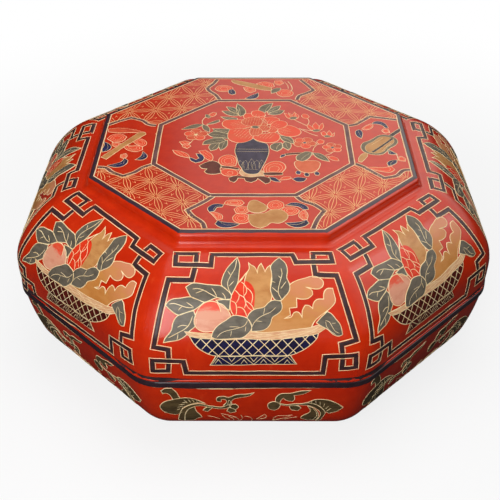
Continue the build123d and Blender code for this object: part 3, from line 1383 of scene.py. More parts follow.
@dataclass
class WingedScroll:
    """The pair of curling winged figures on a side of the base."""

    def draw(self, drawing: Drawing) -> None:
        """Draws both figures and the lotus between them."""
        self._left(drawing)
        self._right(drawing)
        self._lotus(drawing)

    def _ticks(self, drawing: Drawing, ticks: Iterable[str]) -> None:
        """Short gold ticks across a wing."""
        for tick in ticks:
            drawing.line(straight(tick), width=0.6, level=3)

    def _left(self, drawing: Drawing) -> None:
        """The left figure."""
        for level, rim, outline in (
            (1, 0.8,
             "-65,-10 -62,-7.5 -57,-7 -54,-12 -52,-19 -57,-20.5 -59.5,-14 -61.5,-12.8 -64,-13.5"),
            (1, 0.8,
             "-57,-20.5 -64,-24 -67,-31 -64,-38 -57,-41.5 -53,-40 -51,-32 -45,-27 -38.4,-24.6 "
             "-34,-25.6 -43,-19.5 -50,-18.5"),
            (2, 0.8,
             "-55,-52 -53.8,-42 -51.5,-34 -46,-28.5 -39,-26 -30,-29 -22,-30.5 -18.5,-28 -17,-21 "
             "-15,-24 -17,-31 -22,-33 -30,-31.5 -38,-28.5 -44,-31 -48.5,-37 -50,-46 -50.5,-54"),
            (1, 0.8, "-50,-54 -49,-40 -46,-33 -42,-30 -41,-36 -38.5,-42 -37.5,-46 -41,-48 -43,-52"),
            (3, 0.65,
             "-26,-20.6 -25,-17.6 -21,-16.4 -17,-17.6 -12,-14.5 -3,-13.5 1.2,-12 -2,-15.6 "
             "-8,-17.6 -13,-19.2 -15,-22.6 -16.6,-27 -19.6,-29 -21,-28 -19,-25.4 -18.6,-22 "
             "-20,-20 -22.4,-20.4 -22.6,-23.4 -25.4,-23"),
            (3, 0.8, "-31,-30 -34,-31.5 -36,-35 -33,-37 -31,-34 -29,-31"),
            (2, 0.8, "-17,-27 -12,-26.5 -10,-30 -12,-34 -15,-32"),
            (3, 0.8, "-17,-31 -13,-33.5 -12,-37 -16,-38.8 -18.6,-36"),
        ):
            drawing.fill(outline, Paint.OLIVE, level, rim)
        self._ticks(
            drawing,
            ("-54.5,-31 -50.5,-29", "-53.5,-27.5 -49,-26.5", "-51,-24.5 -47.5,-24.2",
             "-49.5,-20.5 -47,-25", "-46.5,-20 -44.5,-24.5", "-43.5,-20.4 -42,-24",
             "-40.5,-21.6 -39.8,-24.4", "-55.5,-35 -52.6,-33"),
        )

    def _right(self, drawing: Drawing) -> None:
        """The right figure."""
        for level, rim, outline in (
            (3, 0.65,
             "41.5,-9 33,-10.2 27,-12.6 20,-13.6 17.2,-17.4 17,-23 19.5,-25.5 20.6,-21 22,-18.4 "
             "24.4,-21.4 28.6,-22.8 30,-20 29.6,-14.8 36,-13.4"),
            (2, 0.8, "13,-24 17.5,-23.4 20,-26 19,-32 16,-35 12.5,-33.4 11,-28"),
            (3, 0.8,
             "19.5,-25.5 25,-27 30,-26 36,-25.5 40,-24.5 45,-26 50,-31 53,-38 51,-47 49,-54 "
             "47,-53 49.3,-45 49.5,-38 46,-31.5 41,-28 34,-27 27,-28.4 21,-27.4"),
            (2, 0.8, "27,-28 33,-28.5 35.2,-31.5 33,-35 28.5,-34 27,-31"),
            (1, 0.8,
             "39.5,-24.5 45,-20.5 53,-20.5 60,-24 66,-30.5 62,-36 56,-39 52.5,-36 49,-29 44,-25.5"),
            (1, 0.8,
             "40,-28.5 42.3,-36 36,-45 36,-48.5 42,-52 47,-51 48.3,-44 47.5,-37 44.5,-31.5"),
        ):
            drawing.fill(outline, Paint.OLIVE, level, rim)
        drawing.stroke("44,-32 46.5,-37 46.8,-44 45,-50", width=0.6, level=2)
        self._ticks(
            drawing,
            ("43,-25 42.5,-21.4", "46,-25.4 45.6,-21.4", "49,-27 48.8,-22.6", "51.5,-29.4 52.4,-25",
             "53,-32.4 55.4,-28.4", "54,-35.5 57.4,-31.6"),
        )

    def _lotus(self, drawing: Drawing) -> None:
        """The gold line lotus low between the figures."""
        petals = (
            "-23,-40 -21,-46 -17,-52", "-23,-40 -17,-43 -12,-47 -10,-54", "-18,-44 -15,-48 -14,-54",
            "-9,-42 -7.4,-47 -9,-53", "-6,-44 -2,-46 0,-50 -1,-56", "3,-50 6,-45 9,-41",
            "9,-41 10.4,-44 8.6,-48 4,-50", "15,-54 15.6,-47 19,-43",
            "15,-54 19,-50 23,-48 28,-43.6", "19,-43 24,-43 29,-42", "24,-50 28,-47 33,-45",
            "-33,-44 -28,-46 -24,-50",
        )
        for petal in petals:
            drawing.stroke(petal, width=0.5)


@dataclass
class RimLine:
    """The dark paint below the rim band and the broken gold line under it."""

    top: float = -5.0
    runs: tuple[tuple[float, float, float], ...] = (
        (-78, -58, 1.7), (-40, -30, 0.8), (-32, -13, 1.9), (-14, 58, 0.85), (55, 78, 1.3),
    )
    places: str = (
        "-78,-6.2 -66,-5.6 -56,-6.6 -44,-7.2 -30,-7.6 -18,-7.6 0,-7 20,-6.4 40,-6.2 60,-6 78,-6.2"
    )

    def draw(self, drawing: Drawing) -> None:
        """Draws the paint and the line."""
        line = flow(self.places)
        lower = [p.copy() for p in line]
        upper = [Vector((p.x, self.top)) for p in reversed(line)]
        drawing.area([*lower, *upper], Paint.DARK, 0, 0.0)
        for first, last, width in self.runs:
            run = [p for p in line if first <= p.x <= last]
            drawing.line(run, width=width)


@dataclass
class BeadPaintAndShadow:
    """The uneven dark line above the lid's bead, which spreads at the ridges: painted shadow above
    the bead, and real dark paint where it spreads over the bead.
    """

    lower: str = "-78,0.6 -68,0.5 -60,0.9 -52,2.1 -20,2.4 12,2.3 46,2.4 55,1.6 62,0.4 78,0.3"
    upper: str = (
        "78,4.3 66,4.6 57,3.9 44,3.2 24,3.4 6,3 -16,3.2 -34,2.9 -50,3.5 -60,4.5 -68,4.8 -78,4.4"
    )

    def draw(self, drawing: Drawing) -> None:
        """Draws the line."""
        drawing.area([*flow(self.lower), *flow(self.upper)], Paint.DARK, 0, 0.0)


def paints() -> None:
    """Makes the ornament's materials once, in slot order."""
    PAINT_MATERIALS.extend(paint.value.build() for paint in Paint)


def each(part: str) -> list[str]:
    """The names of a part's eight CAD nodes."""
    return [f"{part}_{n}" for n in range(1, SIDES + 1)]


def dress(nodes: Iterable[str], material: bpy.types.Material) -> None:
    """Gives CAD nodes a material in their own slot.

    Args:
        nodes: The nodes' names.
        material: The material.
    """
    for name in nodes:
        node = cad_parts[name]
        if node.material_slots:
            for held in node.material_slots:
                held.material = material
        else:
            node.data.materials.append(material)


RED = srgb(214, 50, 8)
RED_DEEP = srgb(194, 36, 4)
RED_WORN = srgb(222, 84, 40)


@dataclass
class LidPanels:
    """The lid's eight staves and their painted frames and baskets."""

    front: tuple[Point, ...] = QUARTERS
    left: tuple[Point, ...] = ((-59, 77.5), (55, 78), (-54.5, 1.5), (44.5, 6.5))
    right: tuple[Point, ...] = ((-57, 78.8), (54.5, 81), (-49, 9), (46, 8.5))

    def build(self) -> None:
        """Dresses the staves and wraps their ornament."""
        finish = StaveLacquer("lid_lacquer", RED, RED_DEEP, RED_WORN)
        dress(each("lid_panel"), finish.build())
        tree = tree_of(("lid_panel_8", "lid_panel_1", "lid_panel_2", "lid_top_board"))
        drawings = {}
        for paint in (Paint.NAVY, Paint.MAROON):
            drawing = Drawing()
            FretFrame().draw(drawing)
            FruitBasket(paint).draw(drawing)
            drawings[paint] = drawing.flat(SideSkin(1, tree).cuts())
        shapes = {1: self.front, 2: self.right, 8: self.left}
        spare = (self.front, self.right, self.left)
        for panel in range(1, SIDES + 1):
            corners = shapes.get(panel, spare[panel % 3])
            paint = Paint.NAVY if panel % 2 else Paint.MAROON
            skin = SideSkin(panel, tree, corners)
            wrap(f"lid_ornament_{panel}", drawings[paint], skin, "lid")
        for drawing in drawings.values():
            drawing.free()
        # The dark line above the bead: painted shadow above the bead, with real dark paint over the
        # bead at the ridges.
        drawing = Drawing()
        BeadPaintAndShadow().draw(drawing)
        flat = drawing.flat(SideSkin(1, tree).cuts())
        for panel in range(1, SIDES + 1):
            wrap(f"lid_bead_paint_and_shadow_{panel}", flat, SideSkin(panel, tree), "lid")
        flat.free()


@dataclass
class BasePanels:
    """The base's eight staves, their painted scrolls and the band above them."""

    def build(self) -> None:
        """Dresses the staves and wraps their ornament."""
        finish = StaveLacquer("base_lacquer", RED, RED_DEEP, RED_WORN, mid_height=0.06)
        dress(each("base_panel"), finish.build())
        band = Lacquer(
            "rim_band_lacquer", srgb(58, 42, 50), srgb(40, 28, 34), srgb(92, 62, 60), 12.0
        )
        dress(each("rim_band"), band.build())
        names = [f"{part}_{n}" for part in ("base_panel", "rim_band") for n in (8, 1, 2)]
        tree = tree_of(names)
        drawing = Drawing()
        WingedScroll().draw(drawing)
        RimLine().draw(drawing)
        flat = drawing.flat(SideSkin(1, tree).cuts())
        for panel in range(1, SIDES + 1):
            wrap(f"base_ornament_{panel}", flat, SideSkin(panel, tree), "base")
        flat.free()


@dataclass
class Inside:
    """The floor board and the locating lip."""

    def build(self) -> None:
        """Dresses both in black lacquer."""
        finish = Lacquer(
            "inner_lacquer", srgb(36, 30, 30), srgb(24, 20, 20), srgb(60, 46, 42), 18.0
        )
        dress([*each("locating_lip"), "base_floor_board"], finish.build())


def octagon(apothem: float) -> list[Point]:
    """The corners of a regular octagon with its sides at a distance from the middle."""
    radius = apothem / math.cos(SECTOR / 2)
    turns = [SECTOR / 2 + SECTOR * n for n in range(SIDES)]
    return [(radius * math.cos(turn), radius * math.sin(turn)) for turn in turns]


def eight_reach(x: float, y: float) -> float:
    """How far out a place lies, measured square to the octagon's sides."""
    return max(abs(x), abs(y), abs(x + y) * DIAGONAL, abs(x - y) * DIAGONAL)


def ring(x: float, y: float, turns: Iterable[float], across: float, up: float) -> list[Point]:
    """Points round an oval, at some angles in radians."""
    return [(x + across * math.cos(turn), y + up * math.sin(turn)) for turn in turns]


def shrunk(outline: Drawn, scale: float, x: float, y: float) -> list[Point]:
    """An outline drawn smaller about a place."""
    return [(x + (px - x) * scale, y + (py - y) * scale) for px, py in points_of(outline)]


@dataclass
class LidPlate:
    """The raised plate of the lid: borders, vase, emblems and star lattice."""

    outer: float = 122.4
    inner: float = 78.0
    drift: float = 3.0
    lean: float = 0.03
    inner_margin: float = 2.6
    outer_margin: float = 1.0
    stars: int = 5
    bow: float = 2.6
    ray_steps: int = 12
    mark: tuple[float, float] = (2.0, 0.55)
    petal_reach: float = 0.58
    petal_size: float = 0.46
    heart_size: float = 1.5
    cartouches: tuple[tuple[str, str], ...] = (
        ("-29,-79.5 -35.5,-87 -44,-95 -47.5,-98.5 -43.5,-106 -36,-115 -34.5,-121.5",
         "33,-79.5 37,-85.5 45,-90.5 52,-99 46.5,-109 42,-122"),
        ("82.5,-32 88,-37 94,-44.5 102,-53.5 112,-50 119,-42 124,-41",
         "84,31 90,33 95,38 104,47.5 115,44.5 126,41.5"),
        ("44,79 46.5,87 53,92 60,98.5 56,108 50,120",
         "-24.5,79.5 -28,88 -35.5,102 -31,111 -27,121"),
        ("-78,31 -84,33 -90,40 -100,45.5 -110,39.5 -118.5,32.5",
         "-77,-33 -84,-38 -90,-45 -98.5,-51 -108,-44.5 -113,-38.5 -119.5,-37.5"),
    )

    def build(self) -> None:
        """Dresses the board and wraps the plate's ornament."""
        finish = BoardLacquer("board_lacquer", RED, RED_DEEP, RED_WORN)
        dress(("lid_top_board",), finish.build())
        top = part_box("lid_top_board")[1].z
        skin = PlateSkin(top, drift=self.drift, lean=self.lean)
        for name, draw in (
            ("plate_borders", self._borders),
            ("plate_vase", self._centre),
            ("plate_emblems", self._emblems),
            ("plate_lattice", self._lattice),
        ):
            drawing = Drawing(level_height=0.05, crown=0.04)
            draw(drawing)
            flat = drawing.flat(skin.cuts())
            wrap(name, flat, skin, "lid")
            flat.free()

    def _drawn(self, x: float, y: float) -> Point:
        """A place of the regular plate in the drawing's own coordinates."""
        return (x + self.drift + self.lean * y, y)

    def _regular(self, apothem: float) -> list[Vector]:
        """A regular octagon in the drawing's coordinates."""
        return straight([self._drawn(*corner) for corner in octagon(apothem)], True, 6.0)

    def _borders(self, drawing: Drawing) -> None:
        """Draws the outer gold line, the inner dark octagon and the cartouches' edges."""
        drawing.line(self._regular(self.outer), True, 1.0)
        drawing.band(self._regular(self.inner), True, 3.3, gold=0.8, paint=Paint.PLUM)
        for pair in self.cartouches:
            for edge in pair:
                drawing.band(flow(edge, step=2.0), False, 2.9, gold=0.75, paint=Paint.PLUM)

    def _cartouche(self, number: int) -> list[Point]:
        """The closed outline of one cartouche."""
        first, second = map(trace, self.cartouches[number])
        return [*first, *reversed(second)]

    def _open(self, x: float, y: float) -> bool:
        """Whether a place belongs to the star lattice."""
        reach = eight_reach(x - self.drift - self.lean * y, y)
        if not self.inner + self.inner_margin < reach < self.outer - self.outer_margin:
            return False
        return not any(inside(self._cartouche(n), x, y) for n in range(len(self.cartouches)))

    def _lattice(self, drawing: Drawing) -> None:
        """Draws the gold star lattice in the four corner fields."""
        fields = (
            ((-76.5, -58), (20.5, -8), (5, -21.5)),
            ((62, -77), (19, 7), (6, 24)),
            ((-80, 60), (22.5, 3), (10, 24.5)),
            ((65, 63), (20, -4), (-9, 22)),
        )
        for origin, first, second in fields:
            self._field(drawing, Vector(origin), Vector(first), Vector(second))

    def _field(self, drawing: Drawing, origin: Vector, a: Vector, b: Vector) -> None:
        """Draws one corner field of the lattice.

        Args:
            drawing: The plate's drawing.
            origin: One star of the field.
            a: The step to the next star.
            b: The step to a star of the next row.
        """
        third = b - a if (b - a).length < (a + b).length else a + b

        def keep(x: float, y: float) -> bool:
            """Whether a place is in this field's own corner."""
            return self._open(x, y) and x * origin.x > 0 and y * origin.y > 0

        near = range(-self.stars, self.stars + 1)
        for i in near:
            for j in near:
                star = origin + a * i + b * j
                for step in (a, b, third):
                    self._ray(drawing, star, star + step, keep)
                self._marks(drawing, star, a, b, third, keep)

    def _ray(self, drawing: Drawing, start: Vector, end: Vector, keep: Test) -> None:
        """Draws the straight line and the two bowed ones between two stars."""
        across = Vector((start.y - end.y, end.x - start.x)).normalized()
        for bow, gap in ((-self.bow, 0.05), (0.0, 0.12), (self.bow, 0.05)):
            path = []
            for s in range(self.ray_steps + 1):
                t = gap + (1.0 - 2.0 * gap) * s / self.ray_steps
                path.append(start.lerp(end, t) + across * (bow * math.sin(math.pi * t)))
            for run in clipped(path, keep):
                drawing.line(run, width=0.58, paint=Paint.LATTICE, taper=False)

    def _marks(
        self, drawing: Drawing, star: Vector, a: Vector, b: Vector, third: Vector, keep: Test
    ) -> None:
        """Draws a small chevron in the triangles beside a star."""
        for first, second in ((a, b), (b, third)):
            middle = star + (first + second) / 3
            aim = (middle - star).normalized() * self.mark[0]
            side = Vector((-aim.y, aim.x)) * self.mark[1]
            path = [middle - aim + side, middle + aim * 0.4, middle - aim - side]
            if all(keep(p.x, p.y) for p in path):
                drawing.line(path, width=0.6, paint=Paint.LATTICE)

    def _blossom(
        self, drawing: Drawing, x: float, y: float, radius: float, turn: float, dot: Paint
    ) -> None:
        """Draws a five-petalled blossom."""
        for n in range(5):
            angle = math.radians(turn + 72 * n)
            reach, size = self.petal_reach * radius, self.petal_size * radius
            middle = ring(x, y, (angle,), reach, reach)[0]
            petal = ring(*middle, [math.tau * s / 9 for s in range(9)], size, size)
            drawing.fill(petal, Paint.PETAL if n % 2 else Paint.BLUSH, 1, 0.6)
        heart = ring(x, y, (0, 1.26, 2.5, 3.77, 5.03), self.heart_size, self.heart_size)
        drawing.fill(heart, dot, 2, 0.5, FINE_STEP)

    def _scroll(
        self, drawing: Drawing, x: float, y: float, radius: float, turns: float, start: float
    ) -> None:
        """Draws a gold spiral."""
        steps = int(turns * 14)
        path = []
        for s in range(steps + 1):
            t = s / steps
            angle = math.radians(start) + turns * math.tau * t
            reach = radius * (1 - 0.82 * t)
            path += ring(x, y, (angle,), reach, reach)
        drawing.line([Vector(p) for p in path], width=0.6, level=2)

    def _centre(self, drawing: Drawing) -> None:
        """Draws the vase of peonies and the things round it."""
        self._greenery(drawing)
        self._peony(drawing)
        self._vase(drawing)
        self._left_things(drawing)
        self._right_things(drawing)

    def _vase(self, drawing: Drawing) -> None:
        """Draws the vase on its plinth and stand."""
        plinth = "-8,-41 -8.5,-47 -5,-51 3,-52 10,-50 9.5,-43"
        drawing.fill(plinth, Paint.CREAM, 1, 0.7)
        stand = (
            "-14,-51 -17,-54 -16,-58 -13,-60 -11,-57 -10,-53.4 -5,-54 -4,-58 0,-60 4,-57 5,-54 "
            "8,-58 11,-62 14,-60 14.5,-54 9,-51 0,-52.5 -8,-50.6"
        )
        drawing.fill(stand, Paint.BRONZE, 2, 0.7)
        body = (
            "3,8.5 -2,3.5 -10,0 -11,-5 -11.8,-12 -11.2,-18 -10,-26 -9,-33 -7,-39 -6,-43 -3,-47 "
            "1,-48 5,-47 7,-44 9,-38 11,-31 13.2,-23 15,-15 15.3,-8 13.6,0 7,3.4"
        )
        drawing.fill(body, Paint.SLATE, 3, 0.8)
        for height, reach in ((-9, 0.0), (-12.8, 0.2)):
            hoop = ((-11.3 - reach, height), (2, height - 0.3), (15.1 + reach, height))
            drawing.stroke(hoop, width=1.0, level=3)
        tongues = (
            "-9.4,-31 -8,-27 -5.5,-32 -5,-40", "-6,-40 -5.6,-30 -3.6,-27 -1.8,-33 -1.6,-41",
            "-3,-41 -1,-30 1,-24 3,-30 4,-41", "1.2,-41 2.6,-31 5,-26.4 7,-31 6.6,-40",
            "6.6,-40 7,-31 9,-25.6 10.4,-31", "-7.4,-37 -6.6,-33 -4.4,-29", "0.8,-38 0.6,-33 1,-29",
            "8,-38 8.2,-33 9.2,-29",
        )
        for tongue in tongues:
            drawing.stroke(tongue, width=0.55, level=3)
        drawing.stroke("-6.6,-42 0,-40.6 7.6,-42", width=0.6, level=3)

    def _peony(self, drawing: Drawing) -> None:
        """Draws the great flower."""
        petals = (
            ("-1,40 -4,47 -3,52.5 3,53 8,50 14,48 14,40 6,34", Paint.PETAL, 1, 80.0),
            ("3,52 4,57 9,58.4 14,54.6 15,49 10,46.6 5,47.6", Paint.PETAL, 2, 85.0),
            ("14,36 13,43 16,46 22,46.4 26,43 26,38 22,34 17,33", Paint.PETAL, 2, 70.0),
            ("18,28 20,35.6 24,39.6 29,39.6 32.4,36 32,31 28,26.6 22,25", Paint.PETAL, 3, 45.0),
            ("-4,26 -15,24.4 -19,27 -21.6,31 -22,36 -19.6,40.4 -15,41.4 -8,41.6 -1,42 4,38 3,30",
             Paint.PETAL, 2, 20.0),
            ("-4,42 0,45 6,46 10,44 12,38 10,31 5,30 -2,31 -6,37", Paint.BLUSH, 3, 80.0),
            ("10.5,42 12.4,44.6 14.8,40 16,34 14,28 10,29", Paint.BLUSH, 2, 75.0),
            ("16,20 15,26 18,29.4 22,28 24.6,24 22,19.4 18,18", Paint.PETAL, 3, 60.0),
            ("25,27 29,30.4 34,31.6 39,28.4 42.6,23.6 43,18 39.6,13.4 34,11.6 28.6,13 25,17 24,22",
             Paint.PETAL, 2, 20.0),
            ("2,10 7,5 14.6,1.6 21.6,3 25,8.6 24.6,15 21,19 13,17 6,17", Paint.PETAL, 4, 60.0),
            ("-15.6,24.4 -17.4,17 -17.2,9 -14.6,4.6 -10.4,1.8 -6,1.4 0,5 3.4,10.4 2.8,18 0,24.6 "
             "-7,25.6", Paint.PETAL, 4, 60.0),
            ("2,13 0.4,20 1.6,26 6,27.4 10,25 11,18 7,14", Paint.BLUSH, 5, 80.0),
            ("9.6,30.6 9,25 12,21 16,22 18,26 15.6,30.6", Paint.BLUSH, 5, 60.0),
        )
        for outline, paint, level, angle in petals:
            drawing.fill(outline, paint, level, 0.75)
            if paint is Paint.PETAL:
                drawing.hatch(shrunk(outline, 0.82, 5, 28), angle, 2.6, 0.5, level)
            else:
                drawing.hatch(outline, angle, 2.2, 0.44, level)
        heart = "2,28 4,30.4 7,30.2 8.6,28 7,26 4,26"
        drawing.fill(heart, Paint.SAGE, 6, 0.6, FINE_STEP)

    def _greenery(self, drawing: Drawing) -> None:
        """Draws the peony's leaves."""
        leaves = (
            ("-9,71.5 -4.4,65 -2,58 -3,51 -7,48 -9.4,55 -10,63", "-7,49 -6.8,57 -8,65"),
            ("-18.5,65.6 -13,64.4 -9,60 -8,52 -12,54 -16,59", "-9,53 -12.6,59 -16.6,63.6"),
            ("-22.4,57.4 -17,57.6 -11.6,54.4 -7.6,49.4 -13,48.6 -18,51", "-9,50 -14,52.6 -19.4,56"),
            ("-23.4,46.8 -17,46.4 -9.6,44.4 -9.4,41.6 -16,41.2 -20.6,43",
             "-11,43 -16,43.6 -21,45.6"),
            ("22,72.6 15,69.6 10.6,64 10,58 14,54 18.6,60 20.6,66", "15,56 16.4,62 20,69.4"),
            ("28.8,67.4 23.4,66 18.6,60.6 16.8,54 22,56 27,61", "18,56 22.6,61 27,65.6"),
            ("31.6,58.4 28,59.4 22,57 17.4,51.6 22,50.4 28,52.4", "19,52 24.6,55.4 29.6,57.6"),
            ("-30.4,25.6 -24,25.4 -16,24.6 -15.8,17 -21,18 -26.6,21", "-17,19 -22,21.6 -27.6,24.4"),
            ("-34,15.4 -30,20 -24,20 -17,16 -17.6,9 -24,10.6 -30,11", "-19,12 -25,14.6 -31.6,15.6"),
            ("-38,-1.6 -36.6,4 -30,8.4 -22,9.6 -19,5 -24,0.6 -31,-0.4", "-21,6 -28,4 -35,0.6"),
            ("-31.4,-11.4 -33,-5 -30,0.4 -24.6,2 -25,-4 -27,-9", "-26,0 -28.6,-5 -30.6,-9.6"),
            ("-23.4,-10.6 -25,-4 -24,1 -18,6 -18,-1 -20,-7", "-20,3 -21.6,-3 -22.8,-8.4"),
            ("25,13.4 30.6,13.2 35,8.6 36.4,0 32,1.6 27.6,5", "27,11 31.6,7 35,2"),
            ("26,1.4 20,0.2 16.8,-4 17.6,-9 22,-12.4 25.4,-9 27,-3", "25.6,0 22.6,-4.6 21.4,-10"),
            ("28,1.4 26.8,-5 31,-10.4 33.2,-6 33,1 30,3", "29.6,1 30,-4 31.4,-8.4"),
        )
        for outline, rib in leaves:
            drawing.leaf(outline, (rib,), 1, Paint.SAGE, 0.55)
        drawing.fill("-30,24 -17,24 -17,8 -30,8", Paint.SAGE, 0, 0.0)

    def _left_things(self, drawing: Drawing) -> None:
        """Draws the spray, the blossom and the treasures left of the vase."""
        for stem in (
            "-33,20 -35,28 -39,35 -38.6,42 -35,49", "-46,6 -49,0 -53,-4", "-36,29 -32,36 -27,40",
        ):
            drawing.stroke(stem, width=0.7)
        sage = (
            "-36.4,51.4 -33.6,50 -32,46 -34,44.4 -36.6,47",
            "-35.6,33 -31,37.4 -25,41.4 -24.4,38 -29,34.6",
            "-56.4,24.6 -50,30.4 -44,33.6 -38,33 -44,27 -51,25",
            "-39,33 -35.6,31 -33,26 -33,19.6 -37,23 -39,28",
        )
        for outline in sage:
            drawing.fill(outline, Paint.SAGE, 1, 0.6)
        coral = (
            "-34,47 -33,52 -30,55 -27.4,54 -28,50 -31,47",
            "-57,3 -52.6,4.4 -48.4,2 -50,-2.6 -55,-2", "-54,-1 -50,0 -47.6,-4 -50.6,-8 -54.6,-5",
            "-62,-10.6 -55.6,-12.6 -49.6,-17.6 -48,-23 -55,-20.4 -60,-16",
            "-41,-12 -35.6,-10.6 -31,-16.6 -29.6,-24 -31,-28.4 -36,-23",
        )
        for outline in coral:
            drawing.fill(outline, Paint.PETAL, 1, 0.7)
            drawing.hatch(outline, 125.0, 2.4, 0.4, 1)
        self._blossom(drawing, -44, 15, 9.5, 90, Paint.GOLD)
        buckle = (
            "-48,-22 -47,-27 -43,-30.6 -38,-28 -36.6,-23 -39.6,-17 -43,-16.6 -42,-20 -40.6,-23.6 "
            "-43,-26 -45.6,-23.6"
        )
        drawing.fill(buckle, Paint.STEEL, 2, 0.7)
        ruyi = (
            "-30,-28 -36,-31 -40,-35 -38,-39 -34,-40 -36,-44 -34,-47 -28,-48 -23,-46 -24,-40 "
            "-23,-36 -26,-30"
        )
        drawing.fill(ruyi, Paint.BRONZE, 2)
        roll = "-23,-34 -25,-27 -22,-20.6 -17,-18.4 -12.6,-21 -11,-29 -11.6,-35 -17,-36"
        drawing.fill(roll, Paint.PETAL, 2, 0.8)
        for scale in (0.72, 0.45):
            inner = shrunk(roll, scale, -17.4, -28.5)
            drawing.line(flow(inner, True), True, 0.55, 2)
        bar = "-23,-35.6 -16,-36.4 -9,-39 -9.4,-41.6 -16,-39.6 -22.6,-38.6"
        drawing.fill(bar, Paint.BRONZE, 3, 0.6)
        small = "-23,-42 -18,-40 -12,-42 -10,-47 -12,-50 -20,-50 -23,-46"
        drawing.fill(small, Paint.PETAL, 2, 0.7)
        self._scroll(drawing, -16.5, -45.6, 3.6, 1.3, 200)

    def _right_things(self, drawing: Drawing) -> None:
        """Draws the lotus buds, blossoms, pot and roll right of the vase."""
        for stem in (
            "38,43 43,37 50,30", "50,46 51.4,39 50,32", "42,26.6 47,21 52,16 57,12.6",
            "44,25 51,22.6 57,22", "67,-13 64,-16.6 60,-18", "50.6,-13 51.6,-8 54,-3 58,1",
            "53,-2 56,3 58,7", "60,-19 64,-22 68,-26",
        ):
            drawing.stroke(stem, width=0.7)
        lotus = (
            "31,54 33.6,45 36.6,42.4 39,46 36,50", "35,54 36.4,47 38.6,43 41,47 40.4,55.6 38,50",
            "43.4,49 41.6,43.4 38.6,42.6 40,48 41,54",
            "46,49.6 48,52.6 51,50.6 52,46 49.6,43.6 46.6,45.4",
            "49.6,33.6 49.6,28 52.4,22.6 55.6,24 53,29.6", "56.8,37 54,31 55,24 58.4,23 59.4,29",
            "62.6,36 59.6,30 58.4,24 61,23.6 63,29", "60,18.6 61,13.4 64.4,12 64,18 62.6,21",
            "67,22 64.6,17 65.6,12 68.4,13.4 68.4,18", "71,19 69,15.6 66.4,11.6 70,13",
            "55,3 58,7.4 61,5 60,0.6 56.6,-1", "62,-22 65,-20 69,-23 70,-27.6 65,-26.6",
        )
        for outline in lotus:
            drawing.fill(outline, Paint.PETAL, 1, 0.6)
        for outline in (
            "35,44.6 38,47 42,46 40.4,42.4 36.6,42", "53,23 57,24.4 60.4,23.4 58,20.6 54,20.4",
            "62,13.4 65,14 67.6,12.4 65,10.6 62.4,11",
        ):
            drawing.fill(outline, Paint.SAGE, 2, 0.5, FINE_STEP)
        self._blossom(drawing, 45, 1.5, 9.0, 60, Paint.STEEL)
        self._blossom(drawing, 67, -6.5, 7.8, 100, Paint.STEEL)
        stick = "28,-16.4 36,-14.6 50,-15.6 50,-18.4 36,-17.6 28.4,-19"
        drawing.fill(stick, Paint.BRONZE, 1, 0.6)
        tip = "24,-22.6 25,-18.6 28,-17.4 28,-20"
        drawing.fill(tip, Paint.STEEL, 2, 0.6)
        pot = (
            "35,-30 37,-27.6 44,-27.4 52.6,-28 54.6,-31 54,-36 52,-41 46.4,-45.6 40.6,-44.8 "
            "36.4,-40 34.8,-35"
        )
        drawing.fill(pot, Paint.CLAY, 2, 0.9)
        for x, y in ((36.6, -45.4), (43, -48.4), (51, -47)):
            foot = ring(x, y, (0, 1, 2, 3, 4, 5.2), 2.0, 2.9)
            drawing.fill(foot, Paint.STEEL, 1, 0.6, FINE_STEP)
        for outline, rib in (
            ("36.8,-26 37,-20.6 41,-16 45,-13 49.6,-14.4 48,-20.6 44,-26.4 40.6,-28.2",
             "48,-15.6 44,-20 40,-26"),
            ("50.4,-15 52,-20.6 57,-26.4 62.2,-28.4 60,-21 56,-16", "52,-16.4 56,-21 60.4,-27"),
        ):
            drawing.leaf(outline, (rib,), 3, Paint.SAGE, 0.6)
        roll = "10.6,-46 10.4,-39 14,-31.4 20,-28.2 25.4,-31 27.4,-37 25.6,-42.6 23.6,-46"
        drawing.fill(roll, Paint.PETAL, 1, 0.8)
        for scale in (0.74, 0.46):
            inner = shrunk(roll, scale, 18, -42)
            drawing.line(flow(inner, True), True, 0.6, 1)
        base = "9.6,-46 17,-45.4 24.6,-46 24.4,-49 17,-49.6 10,-49"
        drawing.fill(base, Paint.BRONZE, 2, 0.6)
        for outline, paint in (
            ("13.6,-52 18,-53 21,-57 22.4,-59.4 18,-58.6 14.6,-55.6", Paint.STEEL),
            ("21.6,-56.6 25,-52 30,-51.6 31,-54 27,-56", Paint.PETAL),
            ("31.6,-55 36,-52.4 42.6,-54 40,-58.4 35,-58.8", Paint.STEEL),
        ):
            drawing.fill(outline, paint, 1, 0.6)

    def _ribbon(self, drawing: Drawing, outline: str, curls: int = 2) -> None:
        """Draws a loop of red ribbon with its gold folds."""
        drawing.fill(outline, Paint.PETAL, 1, 0.7)
        x, y = (sum(values) / len(values) for values in zip(*trace(outline)))
        for n in range(curls):
            fold = shrunk(outline, 0.7 - 0.27 * n, x, y)
            drawing.line(flow(fold, True), True, 0.5, 1)

    def _tail(self, drawing: Drawing, outline: str, fold: str) -> None:
        """Draws a blue ribbon end with its gold fold."""
        drawing.fill(outline, Paint.STEEL, 2, 0.75)
        drawing.stroke(fold, width=0.6, level=2)

    def _emblems(self, drawing: Drawing) -> None:
        """Draws the ribboned emblem of each cartouche."""
        self._gourd(drawing)
        self._lute(drawing)
        self._sword(drawing)
        self._flute(drawing)

